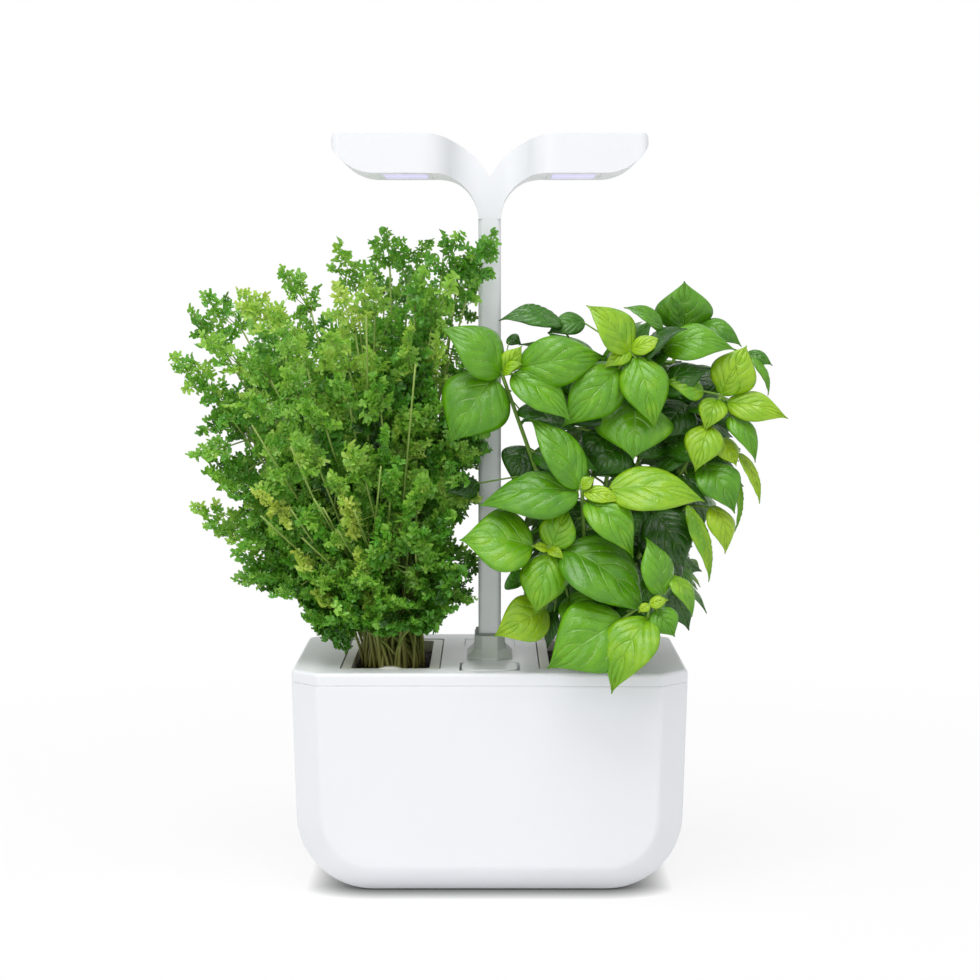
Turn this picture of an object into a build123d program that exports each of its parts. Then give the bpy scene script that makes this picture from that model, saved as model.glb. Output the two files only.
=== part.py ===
from build123d import *
import os
from math import acos, atan2, cos, degrees, radians, sin, sqrt, tan

# Two-pod indoor herb garden: a water tank, a lid that carries two herb pods, and a
# twin-leaf grow lamp on a pole that slides in a collar at the middle of the lid.
# Millimetres. X runs to the right, Y to the back, Z up. The origin is the middle of
# the resting face.

# Tank and lid, outside
body_width = 222.0
body_depth = 156.0
seam_height = 118.0
lid_height = 7.2
side_draft = 1.9
corner_radius = 43.0
bevel = 15.0
edge_softness = 4.0
lid_edge_radius = 2.2
seam_chamfer = 0.5
overrun = 1.0

# Tank walls and foot
tank_wall = 2.5
tank_floor = 3.0
foot_gap = 0.8
foot_length = 120.0
foot_depth = 96.0
foot_radius = 14.0
foot_width = 7.0
foot_thickness = 2.0

# Lid walls
lid_wall = 3.2
deck_thickness = 2.6
lip_depth = 6.0
lip_thickness = 2.0
lip_gap = 0.6
rib_wall = 2.0

# Slots for the pods
slot_width = 56.5
slot_length = 120.0
slot_pitch = 111.9
slot_y = -3.0
slot_radius = 4.0
slot_ledge = 2.5
ledge_thickness = 2.0
ledge_drop = 8.0

# Pods
pod_gap = 0.7
pod_sink = 0.4
pod_rim_width = 5.5
pod_rim_thickness = 1.8
pod_wall = 1.6
pod_depth = 60.0
pod_draft = 2.0
bump_width = 14.0
bump_height = 1.4
notch_width = 10.0
notch_depth = 1.2
soil_drop = 4.6
soil_gap = 0.3
wick_width = 18.0
wick_thickness = 2.4
wick_gap = 0.3
wick_tuck = 9.0
wick_clearance = 5.0

# Pole, its well and its collar
pole_width = 13.0
pole_depth = 28.0
pole_radius = 3.0
pole_wall = 1.3
pole_y = -10.0
pole_fit = 0.08
pole_rest_gap = 0.2
well_depth = 51.2
well_wall = 2.5
well_floor = 2.0
collar_width = 18.0
collar_depth = 34.0
collar_radius = 4.5
collar_height = 13.4
flare_width = 26.0
flare_depth = 48.0
flare_corner = 8.5
flare_height = 5.7
flare_plate = 1.6
collar_draft = 2.0
seal_height = 1.4
seal_width = 1.5
seal_fit = 0.1

# Lamp
lamp_reach = 89.5
lamp_under = 403.0
lamp_thickness = 22.3
lamp_depth = 72.0
valley_radius = 42.0
valley_reach = 38.0
tip_radius = 27.6
tip_turn = 57.6
nose_radius = 8.9
neck_radius = 25.0
lamp_wall = 1.8
lamp_corner = 5.0
swell_gap = 0.5
tenon_height = 12.0
tenon_fit = 0.05
cover_margin = 1.6
cover_side = 6.0
cover_gap = 0.15
cover_radius = 3.0
window_side = 2.6
window_end = 7.0
diffuser_gap = 0.15
diffuser_flange = 1.2
flange_thickness = 1.0
board_thickness = 1.6
board_side = 2.1
board_end = 0.4
post_height = 6.0
post_diameter = 5.0
post_end = 3.0
led_length = 3.5
led_width = 2.8
led_height = 0.8
led_rows = 5
led_columns = 2
led_pitch_x = 10.0
led_pitch_y = 12.0
wire_diameter = 1.4
wire_bend = 22.0
wire_elbow = 4.0
wire_gap = 1.4
wire_step = 3.2
wire_turn = 2.0
wire_fit = 0.05

# Sliding contacts
contact_pitch = 4.2
contact_width = 2.4
contact_thickness = 0.5
contact_margin = 1.8
finger_height = 5.0
finger_fit = 0.08
finger_drop = 4.0
finger_tail = 12.0
finger_thickness = 0.8

# Screws
screw_diameter = 2.2
screw_fit = 0.05
screw_clearance = 0.15
screw_head = 4.4
screw_head_height = 1.2
screw_head_gap = 0.2
screw_bite = 8.0
boss_diameter = 5.6
boss_bite = 0.8

# Electronics bay under the deck
bay_width = 48.0
bay_front = 70.0
bay_back = 20.0
bay_depth = 18.6
bay_cover_thickness = 2.0
bay_cover_fit = 0.3
rear_boss_x = 12.0
board_width = 41.0
board_length = 33.0
board_front_gap = 6.0
board_drop = 4.0
switch_size = 6.0
switch_height = 3.5
plunger_diameter = 3.4
plunger_height = 2.6
plunger_reach = 1.5
plunger_fit = 0.1
chip_size = 7.0
chip_height = 1.2
can_diameter = 6.3
can_height = 7.0
relay_length = 10.0
relay_width = 5.0
relay_height = 5.0
can_pitch = 18.0
plug_width = 4.0
plug_length = 5.0
plug_height = 5.0

# Power button
button_y = -53.0
recess_width = 34.0
recess_length = 30.0
recess_depth = 4.5
recess_floor = 1.5
recess_radius = 2.0
button_gap = 1.2
button_corner = 6.0
button_thickness = 2.3
button_proud = 0.3
button_edge = 0.8
button_stem = 5.0
stem_fit = 0.1
button_travel = 1.2

# Filler mouth, its flap and the float
filler_y = 39.0
filler_width = 30.0
filler_length = 26.0
throat_depth = 8.0
flap_ledge = 1.5
flap_thickness = 1.8
flap_gap = 0.3
flap_grip = 5.0
pin_diameter = 1.6
pin_fit = 0.05
pin_hold = 3.0
barrel_diameter = 3.8
barrel_gap = 0.5
float_diameter = 19.0
float_height = 16.0
float_fit = 1.0
float_rest_gap = 0.3
float_tip_diameter = 5.0
float_tip_height = 30.0
guide_wall = 1.4
guide_floor = 1.4
guide_clearance = 5.0
guide_slot_width = 6.0
guide_slot_margin = 10.0
guide_rib = 2.4
guide_frame = 2.0

# Power inlet at the back
inlet_width = 22.0
inlet_drop = 16.0
inlet_gap = 0.5
inlet_shelf = 2.5
jack_width = 14.0
jack_height = 12.0
jack_length = 13.0
jack_bore = 6.3
jack_bore_depth = 9.0
jack_pin = 2.0
jack_pin_length = 7.5
plug_recess = 10.0
lead_diameter = 2.4
lead_x = 18.6
lead_bend = 6.0
lead_fit = 0.2

# Herbs
parsley_height = 250.0
parsley_reach = 125.0
parsley_depth = 85.0
parsley_rise = 18.0
parsley_stem = 2.0
frond_size = 31.0
frond_thickness = 1.2
frond_stalk = 13.0
stalk_width = 1.4
frond_reach_share = 0.42
frond_out_share = 0.45
frond_front_share = 0.45
frond_up_share = 0.85
splay_angle = 66.0
side_frond_share = 0.85
side_place_share = 0.85
crown_share = -0.16
drawn_share = 0.80
back_start_share = 0.08
back_spread_share = 0.70
back_height_share = 0.90
golden_share = 0.618
basil_height = 215.0
basil_reach = 115.0
basil_depth = 90.0
basil_rise = 24.0
basil_stem = 3.2
leaf_size = 50.0
leaf_front_share = 0.85
leaf_up_share = 0.55
arch_share = 1.3
shoulder_share = 0.25
belly_share = 0.66
waning_share = 0.70
cheek_share = 0.60
leaf_thickness = 1.0
leaf_stalk = 1.8
stalk_length = 7.0
pair_size = 20.0
pair_growth = 9.0
pair_turn = 90.0
shoot_turn = 63.0
pair_breadth_share = 0.62
pair_droop_share = 0.15
pair_out_share = 0.35
pair_up_share = 0.90
stem_bend = 8.0
stem_ring_x = 13.0
stem_ring_y = 34.0
ring_stems = 12
golden_turn = 137.5

# Heights and places that follow from the sizes above
deck_top = seam_height + lid_height
deck_under = deck_top - deck_thickness
tank_floor_top = foot_gap + tank_floor
foot_inner_radius = foot_radius - foot_width
bevel_inset_share = 2 - sqrt(2)
half = 0.5

pod_x = slot_pitch * half
ledge_top = deck_top - ledge_drop
ledge_low = ledge_top - ledge_thickness
pod_rim_top = deck_top - pod_sink
pod_low = pod_rim_top - pod_depth
pod_floor_top = pod_low + pod_wall
pod_outer_width = slot_width - 2 * pod_gap
pod_outer_length = slot_length - 2 * pod_gap
pod_opening_width = pod_outer_width - 2 * pod_rim_width
pod_opening_length = pod_outer_length - 2 * pod_rim_width
soil_top = pod_rim_top - soil_drop

well_low = deck_top - well_depth
pole_low = well_low + well_floor + pole_rest_gap
well_width = pole_width + 2 * (pole_fit + well_wall)
well_length = pole_depth + 2 * (pole_fit + well_wall)
collar_top = deck_top + collar_height

lamp_top = lamp_under + lamp_thickness
neck_low = lamp_under - neck_radius
neck_x = pole_width * half + neck_radius
# The tip's long arc leaves the flat underside at tip_x and runs into the nose's arc
tip_x = lamp_reach - (tip_radius - nose_radius) * sin(radians(tip_turn)) - nose_radius
cover_x = (neck_x + tip_x) * half
cover_width = tip_x - neck_x - 2 * cover_margin
cover_depth = lamp_depth - 2 * cover_side
window_width = cover_width - 2 * window_side
window_depth = cover_depth - 2 * window_end
cover_top = lamp_under + lamp_wall
led_board_low = cover_top + post_height
led_board_top = led_board_low + board_thickness
led_board_width = cover_width - 2 * board_side
led_board_depth = cover_depth - 2 * board_end
post_pitch = cover_depth - 2 * post_end
wire_z = led_board_low + board_thickness * half

contact_low = pole_low + contact_margin
contact_high = deck_under - finger_drop + finger_height * half
contact_y = pole_y + pole_depth * half
finger_z = deck_under - finger_drop

bay_low = deck_under - bay_depth
bay_length = bay_front + bay_back
bay_y = (bay_back - bay_front) * half
circuit_low = bay_low + board_drop
circuit_top = circuit_low + board_thickness
circuit_y = -bay_front + board_front_gap + board_length * half

recess_low = deck_top - recess_depth
button_top = deck_top + button_proud
button_low = button_top - button_thickness
plunger_low = circuit_top + switch_height - (plunger_height - plunger_reach)
plunger_top = circuit_top + switch_height + plunger_reach

pin_z = deck_top - flap_thickness * half - pin_diameter * half
pin_y = filler_y + filler_length * half + barrel_diameter * half
guide_outer = float_diameter + 2 * (float_fit + guide_wall)
guide_low = tank_floor_top + guide_clearance
guide_top = deck_under - throat_depth
float_low = guide_low + guide_floor + float_rest_gap

inlet_low = seam_height - inlet_drop + inlet_gap
jack_low = inlet_low + inlet_shelf
lip_inset = tank_wall + lip_gap
inlet_inner_y = body_depth * half - lip_inset - lip_thickness
lead_z = jack_low + jack_height * half


def half_width(height):
    # The sides lean in towards the base by the draft
    return body_width * half - (seam_height - height) * tan(radians(side_draft))


def tub_form(inset, low, high, softness):
    # Front outline with two round bottom corners, carried through the depth and bevelled
    with BuildPart(mode=Mode.PRIVATE) as form:
        with BuildSketch(Plane.XZ) as front:
            with BuildLine():
                Polyline(
                    (half_width(high) - inset, high),
                    (inset - half_width(high), high),
                    (inset - half_width(low), low),
                    (half_width(low) - inset, low),
                    close=True,
                )
            make_face()
            fillet(front.vertices().group_by(Axis.Y)[0], corner_radius - inset)
        extrude(amount=body_depth * half - inset, both=True)
        panels = form.faces().filter_by(Axis.Y)
        rims = panels.edges().filter_by(lambda edge: edge.center().Z < high - overrun)
        leg = bevel - inset * bevel_inset_share
        chamfer(rims, length=leg)
        if softness > 0:
            panels = form.faces().filter_by(Axis.Y)
            rims = panels.edges().filter_by(lambda edge: edge.center().Z < high - overrun)
            fillet(rims, radius=softness)
            band = body_depth * half - inset - leg
            outer = form.edges().filter_by(
                lambda edge: abs(abs(edge.center().Y) - band) < seam_chamfer
                and edge.center().Z < high - overrun
            )
            fillet(outer, radius=softness)
    return form.part


def plan_block(inset, low, high, mode=Mode.ADD):
    # The body's plan outline, with its bevelled corners, as a block
    with BuildSketch(Plane.XY.offset(low)) as plan:
        Rectangle(body_width - 2 * inset, body_depth - 2 * inset)
        chamfer(plan.vertices(), bevel - inset * bevel_inset_share)
        fillet(plan.vertices(), edge_softness)
    extrude(plan.sketch, amount=high - low, mode=mode)


def round_block(width, length, radius, low, high, place=(0, 0), mode=Mode.ADD):
    # A block with rounded upright corners between two heights
    with BuildSketch(Plane.XY.offset(low)) as profile:
        with Locations(place):
            RectangleRounded(width, length, radius)
    extrude(profile.sketch, amount=high - low, mode=mode)


def square_block(width, length, low, high, place=(0, 0), mode=Mode.ADD):
    with BuildSketch(Plane.XY.offset(low)) as profile:
        with Locations(place):
            Rectangle(width, length)
    extrude(profile.sketch, amount=high - low, mode=mode)


def posts(diameter, low, high, places, mode=Mode.ADD):
    with BuildSketch(Plane.XY.offset(low)) as profile:
        with Locations(*places):
            Circle(diameter * half)
    extrude(profile.sketch, amount=high - low, mode=mode)


def save(part, name):
    part.label = name
    export_step(part, f"parts/{name}.step")


def tube(points, radii, diameter):
    # A round wire along straight runs joined by tangent arcs
    with BuildPart(mode=Mode.PRIVATE) as wire:
        with BuildLine() as route:
            FilletPolyline(*points, radius=radii)
        with BuildSketch(Plane(origin=route.line @ 0, z_dir=route.line % 0)):
            Circle(diameter * half)
        sweep()
    return wire.part


# Tank
with BuildPart() as tank:
    add(tub_form(0, foot_gap, seam_height, edge_softness))
    top_rim = tank.faces().sort_by(Axis.Z)[-1]
    chamfer(top_rim.edges(), length=seam_chamfer)
    add(tub_form(tank_wall, tank_floor_top, seam_height + overrun, 0), mode=Mode.SUBTRACT)
    with BuildSketch(Plane.XY.offset(foot_gap)):
        RectangleRounded(foot_length, foot_depth, foot_radius)
        RectangleRounded(
            foot_length - 2 * foot_width,
            foot_depth - 2 * foot_width,
            foot_inner_radius,
            mode=Mode.SUBTRACT,
        )
    extrude(amount=foot_thickness - foot_gap, mode=Mode.SUBTRACT)
    square_block(
        inlet_width,
        2 * (tank_wall + overrun),
        seam_height - inlet_drop,
        seam_height + overrun,
        (0, body_depth * half),
        Mode.SUBTRACT,
    )
save(tank.part, "tank")

with BuildPart() as foot_ring:
    with BuildSketch():
        RectangleRounded(foot_length, foot_depth, foot_radius)
        RectangleRounded(
            foot_length - 2 * foot_width,
            foot_depth - 2 * foot_width,
            foot_inner_radius,
            mode=Mode.SUBTRACT,
        )
    extrude(amount=foot_thickness)
save(foot_ring.part, "foot_ring")

# Lid
slots = [(-pod_x, slot_y), (pod_x, slot_y)]
boss_inset = rib_wall + boss_diameter * half - boss_bite
front_boss_x = bay_width * half - boss_inset
bay_bosses = [
    (side * x, y)
    for side in (-1, 1)
    for x, y in (
        (front_boss_x, boss_inset - bay_front + rib_wall),
        (rear_boss_x, bay_back - boss_inset),
    )
]
board_back = circuit_y + board_length * half
board_post = [(0, board_back - boss_diameter * half)]
bay_room = bay_width - 2 * rib_wall
throat_width = filler_width + 2 * rib_wall
throat_length = filler_length + 2 * rib_wall

with BuildPart() as lid:
    plan_block(0, seam_height, deck_top)
    fillet(lid.faces().sort_by(Axis.Z)[-1].edges(), radius=lid_edge_radius)
    chamfer(lid.faces().sort_by(Axis.Z)[0].edges(), length=seam_chamfer)
    plan_block(lid_wall, seam_height, deck_under, Mode.SUBTRACT)
    plan_block(lip_inset, seam_height - lip_depth, deck_under)
    plan_block(lip_inset + lip_thickness, seam_height - lip_depth, deck_under, Mode.SUBTRACT)
    # Frames of the two slots, the bay, the filler throat and the inlet block
    for place in slots:
        round_block(
            slot_width + 2 * rib_wall,
            slot_length + 2 * rib_wall,
            slot_radius + rib_wall,
            ledge_low,
            deck_under,
            place,
        )
    square_block(bay_width, bay_length, bay_low, deck_under, (0, bay_y))
    square_block(bay_room, bay_length - 2 * rib_wall, bay_low, deck_under, (0, bay_y), Mode.SUBTRACT)
    posts(boss_diameter, bay_low, deck_under, bay_bosses)
    posts(boss_diameter, circuit_top, deck_under, board_post)
    square_block(throat_width, throat_length, guide_top, deck_under, (0, filler_y))
    hinge_width = filler_width + 2 * (pin_hold + rib_wall)
    square_block(hinge_width, 2 * barrel_diameter, deck_under - rib_wall, deck_under, (0, pin_y))
    inlet_y = (inlet_inner_y + body_depth * half) * half
    inlet_run = body_depth * half - inlet_inner_y
    square_block(
        inlet_width - 2 * inlet_gap, inlet_run, inlet_low, deck_under, (0, inlet_y)
    )
    shelf_y = inlet_inner_y - jack_length * half
    square_block(inlet_width - 2 * inlet_gap, jack_length, inlet_low, jack_low, (0, shelf_y))
    # Recess floor for the button, and the well of the pole
    round_block(
        recess_width + 2 * rib_wall,
        recess_length + 2 * rib_wall,
        recess_radius + rib_wall,
        recess_low - recess_floor,
        deck_under,
        (0, button_y),
    )
    round_block(
        well_width,
        well_length,
        pole_radius + pole_fit + well_wall,
        well_low,
        deck_under,
        (0, pole_y),
    )
    # Openings
    for place in slots:
        round_block(
            slot_width, slot_length, slot_radius, ledge_top, deck_top + overrun, place, Mode.SUBTRACT
        )
        square_block(
            slot_width - 2 * slot_ledge,
            slot_length - 2 * slot_ledge,
            ledge_low,
            ledge_top,
            place,
            Mode.SUBTRACT,
        )
    round_block(
        recess_width,
        recess_length,
        recess_radius,
        recess_low,
        deck_top + overrun,
        (0, button_y),
        Mode.SUBTRACT,
    )
    posts(
        button_stem + 2 * stem_fit,
        recess_low - recess_floor,
        recess_low,
        [(0, button_y)],
        Mode.SUBTRACT,
    )
    round_block(
        pole_width + 2 * pole_fit,
        pole_depth + 2 * pole_fit,
        pole_radius + pole_fit,
        well_low + well_floor,
        deck_top + overrun,
        (0, pole_y),
        Mode.SUBTRACT,
    )
    flap_low = deck_top - flap_thickness
    square_block(
        filler_width, filler_length, flap_low, deck_top + overrun, (0, filler_y), Mode.SUBTRACT
    )
    square_block(
        filler_width - 2 * flap_ledge,
        filler_length - 2 * flap_ledge,
        guide_top,
        flap_low,
        (0, filler_y),
        Mode.SUBTRACT,
    )
    # Seat of the flap, pocket of its hinge barrel and a hollow for a fingertip
    square_block(
        filler_width,
        barrel_diameter + 2 * barrel_gap,
        pin_z - barrel_diameter * half - barrel_gap,
        deck_top + overrun,
        (0, pin_y),
        Mode.SUBTRACT,
    )
    posts(
        2 * flap_grip,
        flap_low,
        deck_top + overrun,
        [(0, filler_y - filler_length * half)],
        Mode.SUBTRACT,
    )
    with Locations(Location((0, pin_y, pin_z), (0, 90, 0))):
        Cylinder(
            pin_diameter * half + pin_fit, filler_width + 2 * pin_hold, mode=Mode.SUBTRACT
        )
    # Screw holes of the bay, the inlet bore and the way of the contact fingers and leads
    posts(
        screw_diameter + 2 * screw_fit, bay_low, bay_low + screw_bite, bay_bosses, Mode.SUBTRACT
    )
    with Locations(Location((0, inlet_y, lead_z), (90, 0, 0))):
        Cylinder(plug_recess * half, inlet_run, mode=Mode.SUBTRACT)
    well_back = pole_y + well_length * half
    for side in (-1, 1):
        with Locations((side * contact_pitch * half, well_back - well_wall * half, finger_z)):
            Box(
                contact_width + 2 * finger_fit,
                well_wall,
                finger_height + 2 * finger_fit,
                mode=Mode.SUBTRACT,
            )
    with Locations(Location((lead_x, bay_back - rib_wall * half, lead_z), (90, 0, 0))):
        Cylinder(lead_diameter * half + lead_fit, rib_wall, mode=Mode.SUBTRACT)
save(lid.part, "lid")

# Collar round the foot of the pole, and its seal
with BuildPart() as pole_collar:
    with BuildSketch(Plane.XY.offset(deck_top)) as foot:
        with Locations((0, pole_y)):
            Rectangle(flare_width, flare_depth)
        chamfer(foot.vertices(), flare_corner)
    extrude(amount=flare_plate)
    with BuildSketch(Plane.XY.offset(deck_top + flare_plate)) as wide:
        with Locations((0, pole_y)):
            Rectangle(flare_width, flare_depth)
        chamfer(wide.vertices(), flare_corner)
    with BuildSketch(Plane.XY.offset(deck_top + flare_height)) as narrow:
        with Locations((0, pole_y)):
            Rectangle(collar_width, collar_depth)
        chamfer(narrow.vertices(), collar_radius)
    loft()
    with BuildSketch(Plane.XY.offset(deck_top + flare_height)) as upright:
        with Locations((0, pole_y)):
            Rectangle(collar_width, collar_depth)
        chamfer(upright.vertices(), collar_radius)
    extrude(amount=collar_height - flare_height, taper=collar_draft)
    round_block(
        pole_width + 2 * pole_fit,
        pole_depth + 2 * pole_fit,
        pole_radius + pole_fit,
        deck_top,
        collar_top + overrun,
        (0, pole_y),
        Mode.SUBTRACT,
    )
save(pole_collar.part, "pole_collar")

with BuildPart() as collar_seal:
    seal_inner = pole_radius + seal_fit
    round_block(
        pole_width + 2 * (seal_fit + seal_width),
        pole_depth + 2 * (seal_fit + seal_width),
        seal_inner + seal_width,
        collar_top,
        collar_top + seal_height,
        (0, pole_y),
    )
    round_block(
        pole_width + 2 * seal_fit,
        pole_depth + 2 * seal_fit,
        seal_inner,
        collar_top,
        collar_top + seal_height,
        (0, pole_y),
        Mode.SUBTRACT,
    )
save(collar_seal.part, "collar_seal")

# Electronics under the deck
board_rail_x = board_width * half - rib_wall * half
with BuildPart() as bay_cover:
    cover_low = bay_low - bay_cover_thickness
    square_block(bay_width, bay_length, cover_low, bay_low, (0, bay_y))
    for side in (-1, 1):
        square_block(
            rib_wall,
            board_length - 2 * boss_diameter,
            bay_low,
            circuit_low,
            (side * board_rail_x, circuit_y),
        )
    round_block(
        well_width + 2 * bay_cover_fit,
        well_length + 2 * bay_cover_fit,
        pole_radius + well_wall,
        cover_low,
        bay_low,
        (0, pole_y),
        Mode.SUBTRACT,
    )
    posts(screw_diameter + 2 * screw_clearance, cover_low, bay_low, bay_bosses, Mode.SUBTRACT)
save(bay_cover.part, "bay_cover")

with BuildPart() as bay_screws:
    posts(screw_diameter, cover_low, bay_low + screw_bite, bay_bosses)
    posts(screw_head, cover_low - screw_head_height, cover_low, bay_bosses)
save(bay_screws.part, "bay_screws")

with BuildPart() as circuit_board:
    square_block(board_width, board_length, circuit_low, circuit_top, (0, circuit_y))
    front_bosses = [place for place in bay_bosses if place[1] < 0]
    posts(boss_diameter + 2 * bay_cover_fit, circuit_low, circuit_top, front_bosses, Mode.SUBTRACT)
save(circuit_board.part, "circuit_board")

with BuildPart() as board_parts:
    part_row = board_back - can_diameter
    chip_x = board_width * half - rib_wall - chip_size
    square_block(chip_size, chip_size, circuit_top, circuit_top + chip_height, (-chip_x, circuit_y))
    square_block(
        relay_length,
        relay_width,
        circuit_top,
        circuit_top + relay_height,
        (chip_x, circuit_y),
    )
    posts(
        can_diameter,
        circuit_top,
        circuit_top + can_height,
        [(side * can_pitch * half, part_row) for side in (-1, 1)],
    )
    square_block(
        plug_width,
        plug_length,
        circuit_top,
        circuit_top + plug_height,
        (lead_x, board_back - plug_length * half),
    )
save(board_parts.part, "board_parts")

with BuildPart() as tact_switch:
    square_block(
        switch_size, switch_size, circuit_top, circuit_top + switch_height, (0, button_y)
    )
    posts(
        plunger_diameter + 2 * plunger_fit,
        plunger_low - button_travel - plunger_fit,
        circuit_top + switch_height,
        [(0, button_y)],
        Mode.SUBTRACT,
    )
save(tact_switch.part, "tact_switch")

with BuildPart() as switch_plunger:
    posts(plunger_diameter, plunger_low, plunger_top, [(0, button_y)])
save(switch_plunger.part, "switch_plunger")

with BuildPart() as power_button:
    plate_width = recess_width - 2 * button_gap
    plate_length = recess_length - 2 * button_gap
    round_block(plate_width, plate_length, button_corner, button_low, button_top, (0, button_y))
    fillet(power_button.faces().sort_by(Axis.Z)[-1].edges(), radius=button_edge)
    posts(button_stem, plunger_top, button_low, [(0, button_y)])
save(power_button.part, "power_button")

# Power inlet and the leads under the deck
with BuildPart() as dc_jack:
    square_block(jack_width, jack_length, jack_low, jack_low + jack_height, (0, shelf_y))
    bore_y = inlet_inner_y - jack_bore_depth * half
    with Locations(Location((0, bore_y, lead_z), (90, 0, 0))):
        Cylinder(jack_bore * half, jack_bore_depth, mode=Mode.SUBTRACT)
    jack_pin_y = inlet_inner_y - jack_bore_depth + jack_pin_length * half
    with Locations(Location((0, jack_pin_y, lead_z), (90, 0, 0))):
        Cylinder(jack_pin * half, jack_pin_length)
save(dc_jack.part, "dc_jack")

power_lead = tube(
    [
        (jack_width * half, shelf_y, lead_z),
        (lead_x, shelf_y, lead_z),
        (lead_x, board_back, lead_z),
    ],
    [lead_bend],
    lead_diameter,
)
save(power_lead, "power_lead")

# Sliding contacts between the pole and the lid
with BuildPart() as contact_fingers:
    finger_front = contact_y + finger_fit
    tail_y = well_back + finger_thickness * half
    for side in (-1, 1):
        place_x = side * contact_pitch * half
        reach = well_back - finger_front
        square_block(
            contact_width,
            reach,
            finger_z - finger_height * half,
            finger_z + finger_height * half,
            (place_x, finger_front + reach * half),
        )
        square_block(
            contact_width,
            finger_thickness,
            finger_z - finger_tail,
            finger_z + finger_height * half,
            (place_x, tail_y),
        )
save(contact_fingers.part, "contact_fingers")

# Leads from the fingers, round the well to the back edge of the board
tail_back = well_back + finger_thickness
circuit_mid = circuit_low + board_thickness * half
lead_row = well_width * half + wire_gap + wire_diameter * half
finger_leads = []
for side in (-1, 1):
    finger_leads.append(
        tube(
            [
                (side * contact_pitch * half, tail_back, circuit_mid),
                (side * contact_pitch * half, tail_back + wire_step, circuit_mid),
                (side * lead_row, tail_back + wire_step, circuit_mid),
                (side * lead_row, board_back, circuit_mid),
            ],
            [wire_turn, wire_turn],
            wire_diameter,
        )
    )
save(Compound(children=finger_leads), "finger_leads")

# Hinge pin and flap of the filler mouth
with BuildPart() as flap_pin:
    with Locations(Location((0, pin_y, pin_z), (0, 90, 0))):
        Cylinder(pin_diameter * half, filler_width + 2 * pin_hold)
save(flap_pin.part, "flap_pin")

with BuildPart() as filler_flap:
    flap_front = filler_y - filler_length * half + flap_gap
    flap_run = pin_y - flap_front
    flap_width = filler_width - 2 * flap_gap
    square_block(
        flap_width,
        flap_run,
        deck_top - flap_thickness,
        deck_top,
        (0, flap_front + flap_run * half),
    )
    with Locations(Location((0, pin_y, pin_z), (0, 90, 0))):
        Cylinder(barrel_diameter * half, flap_width)
        Cylinder(pin_diameter * half + pin_fit, flap_width, mode=Mode.SUBTRACT)
save(filler_flap.part, "filler_flap")

# Float and its guide, hung under the filler mouth
with BuildPart() as float_guide:
    square_block(throat_width, throat_length, guide_top - guide_frame, guide_top, (0, filler_y))
    square_block(
        filler_width, filler_length, guide_top - guide_frame, guide_top, (0, filler_y), Mode.SUBTRACT
    )
    for length, width in ((filler_width, guide_rib), (guide_rib, filler_length)):
        square_block(length, width, guide_top - guide_frame, guide_top, (0, filler_y))
    posts(guide_outer, guide_low, guide_top, [(0, filler_y)])
    posts(
        guide_outer - 2 * guide_wall,
        guide_low + guide_floor,
        guide_top,
        [(0, filler_y)],
        Mode.SUBTRACT,
    )
    slot_low = guide_low + guide_slot_margin
    slot_high = guide_top - guide_slot_margin
    for length, width in (
        (guide_outer + overrun, guide_slot_width),
        (guide_slot_width, guide_outer + overrun),
    ):
        square_block(length, width, slot_low, slot_high, (0, filler_y), Mode.SUBTRACT)
save(float_guide.part, "float_guide")

with BuildPart() as water_float:
    posts(float_diameter, float_low, float_low + float_height, [(0, filler_y)])
    posts(
        float_tip_diameter,
        float_low + float_height,
        float_low + float_height + float_tip_height,
        [(0, filler_y)],
    )
save(water_float.part, "water_float")


# Pole and lamp
def lamp_outline(inset):
    # Front view of the twin leaf: flat top, a valley at the middle, tips that slant up to a nose
    valley_z = lamp_top - valley_radius + sqrt(valley_radius ** 2 - valley_reach ** 2)
    # The nose turns until its arc meets the top
    nose_low = lamp_under + tip_radius * (1 - cos(radians(tip_turn)))
    nose_end = cos(radians(tip_turn)) - (lamp_top - nose_low) / nose_radius
    nose_turn = degrees(acos(nose_end)) - tip_turn
    with BuildSketch(Plane.XZ.offset(-pole_y)) as outline:
        with BuildLine():
            Line((0, neck_low), (pole_width * half, neck_low))
            CenterArc((neck_x, neck_low), neck_radius, 90, 90)
            Line((neck_x, lamp_under), (tip_x, lamp_under))
            belly = JernArc((tip_x, lamp_under), (1, 0), tip_radius, tip_turn)
            nose = JernArc(belly @ 1, belly % 1, nose_radius, nose_turn)
            Line(nose @ 1, (valley_reach, lamp_top))
            RadiusArc((valley_reach, lamp_top), (0, valley_z), -valley_radius)
            mirror(about=Plane.YZ)
        make_face()
        if inset > 0:
            offset(amount=-inset, mode=Mode.REPLACE)
    return outline.sketch


def lamp_plan(inset):
    # Plan view: two broad wings with round corners, joined by a waist as deep as the pole
    waist = pole_depth * half
    broad = lamp_depth * half
    corner_x = lamp_reach - lamp_corner
    # Two equal arcs lead from the waist to the wings
    swell_low = pole_width * half + swell_gap
    swell_run = valley_reach - swell_low
    swell_turn = 2 * degrees(atan2(broad - waist, swell_run))
    swell_radius = swell_run * half / sin(radians(swell_turn))
    with BuildSketch(Plane((0, pole_y, neck_low - overrun))) as plan:
        with BuildLine():
            Line((0, waist), (swell_low, waist))
            hollow = JernArc((swell_low, waist), (1, 0), swell_radius, swell_turn)
            JernArc(hollow @ 1, hollow % 1, swell_radius, -swell_turn)
            Line((valley_reach, broad), (corner_x, broad))
            CenterArc((corner_x, broad - lamp_corner), lamp_corner, 0, 90)
            Line((lamp_reach, broad - lamp_corner), (lamp_reach, 0))
            mirror(about=Plane.XZ)
            mirror(about=Plane.YZ)
        make_face()
        if inset > 0:
            offset(amount=-inset, mode=Mode.REPLACE)
    return plan.sketch


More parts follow.
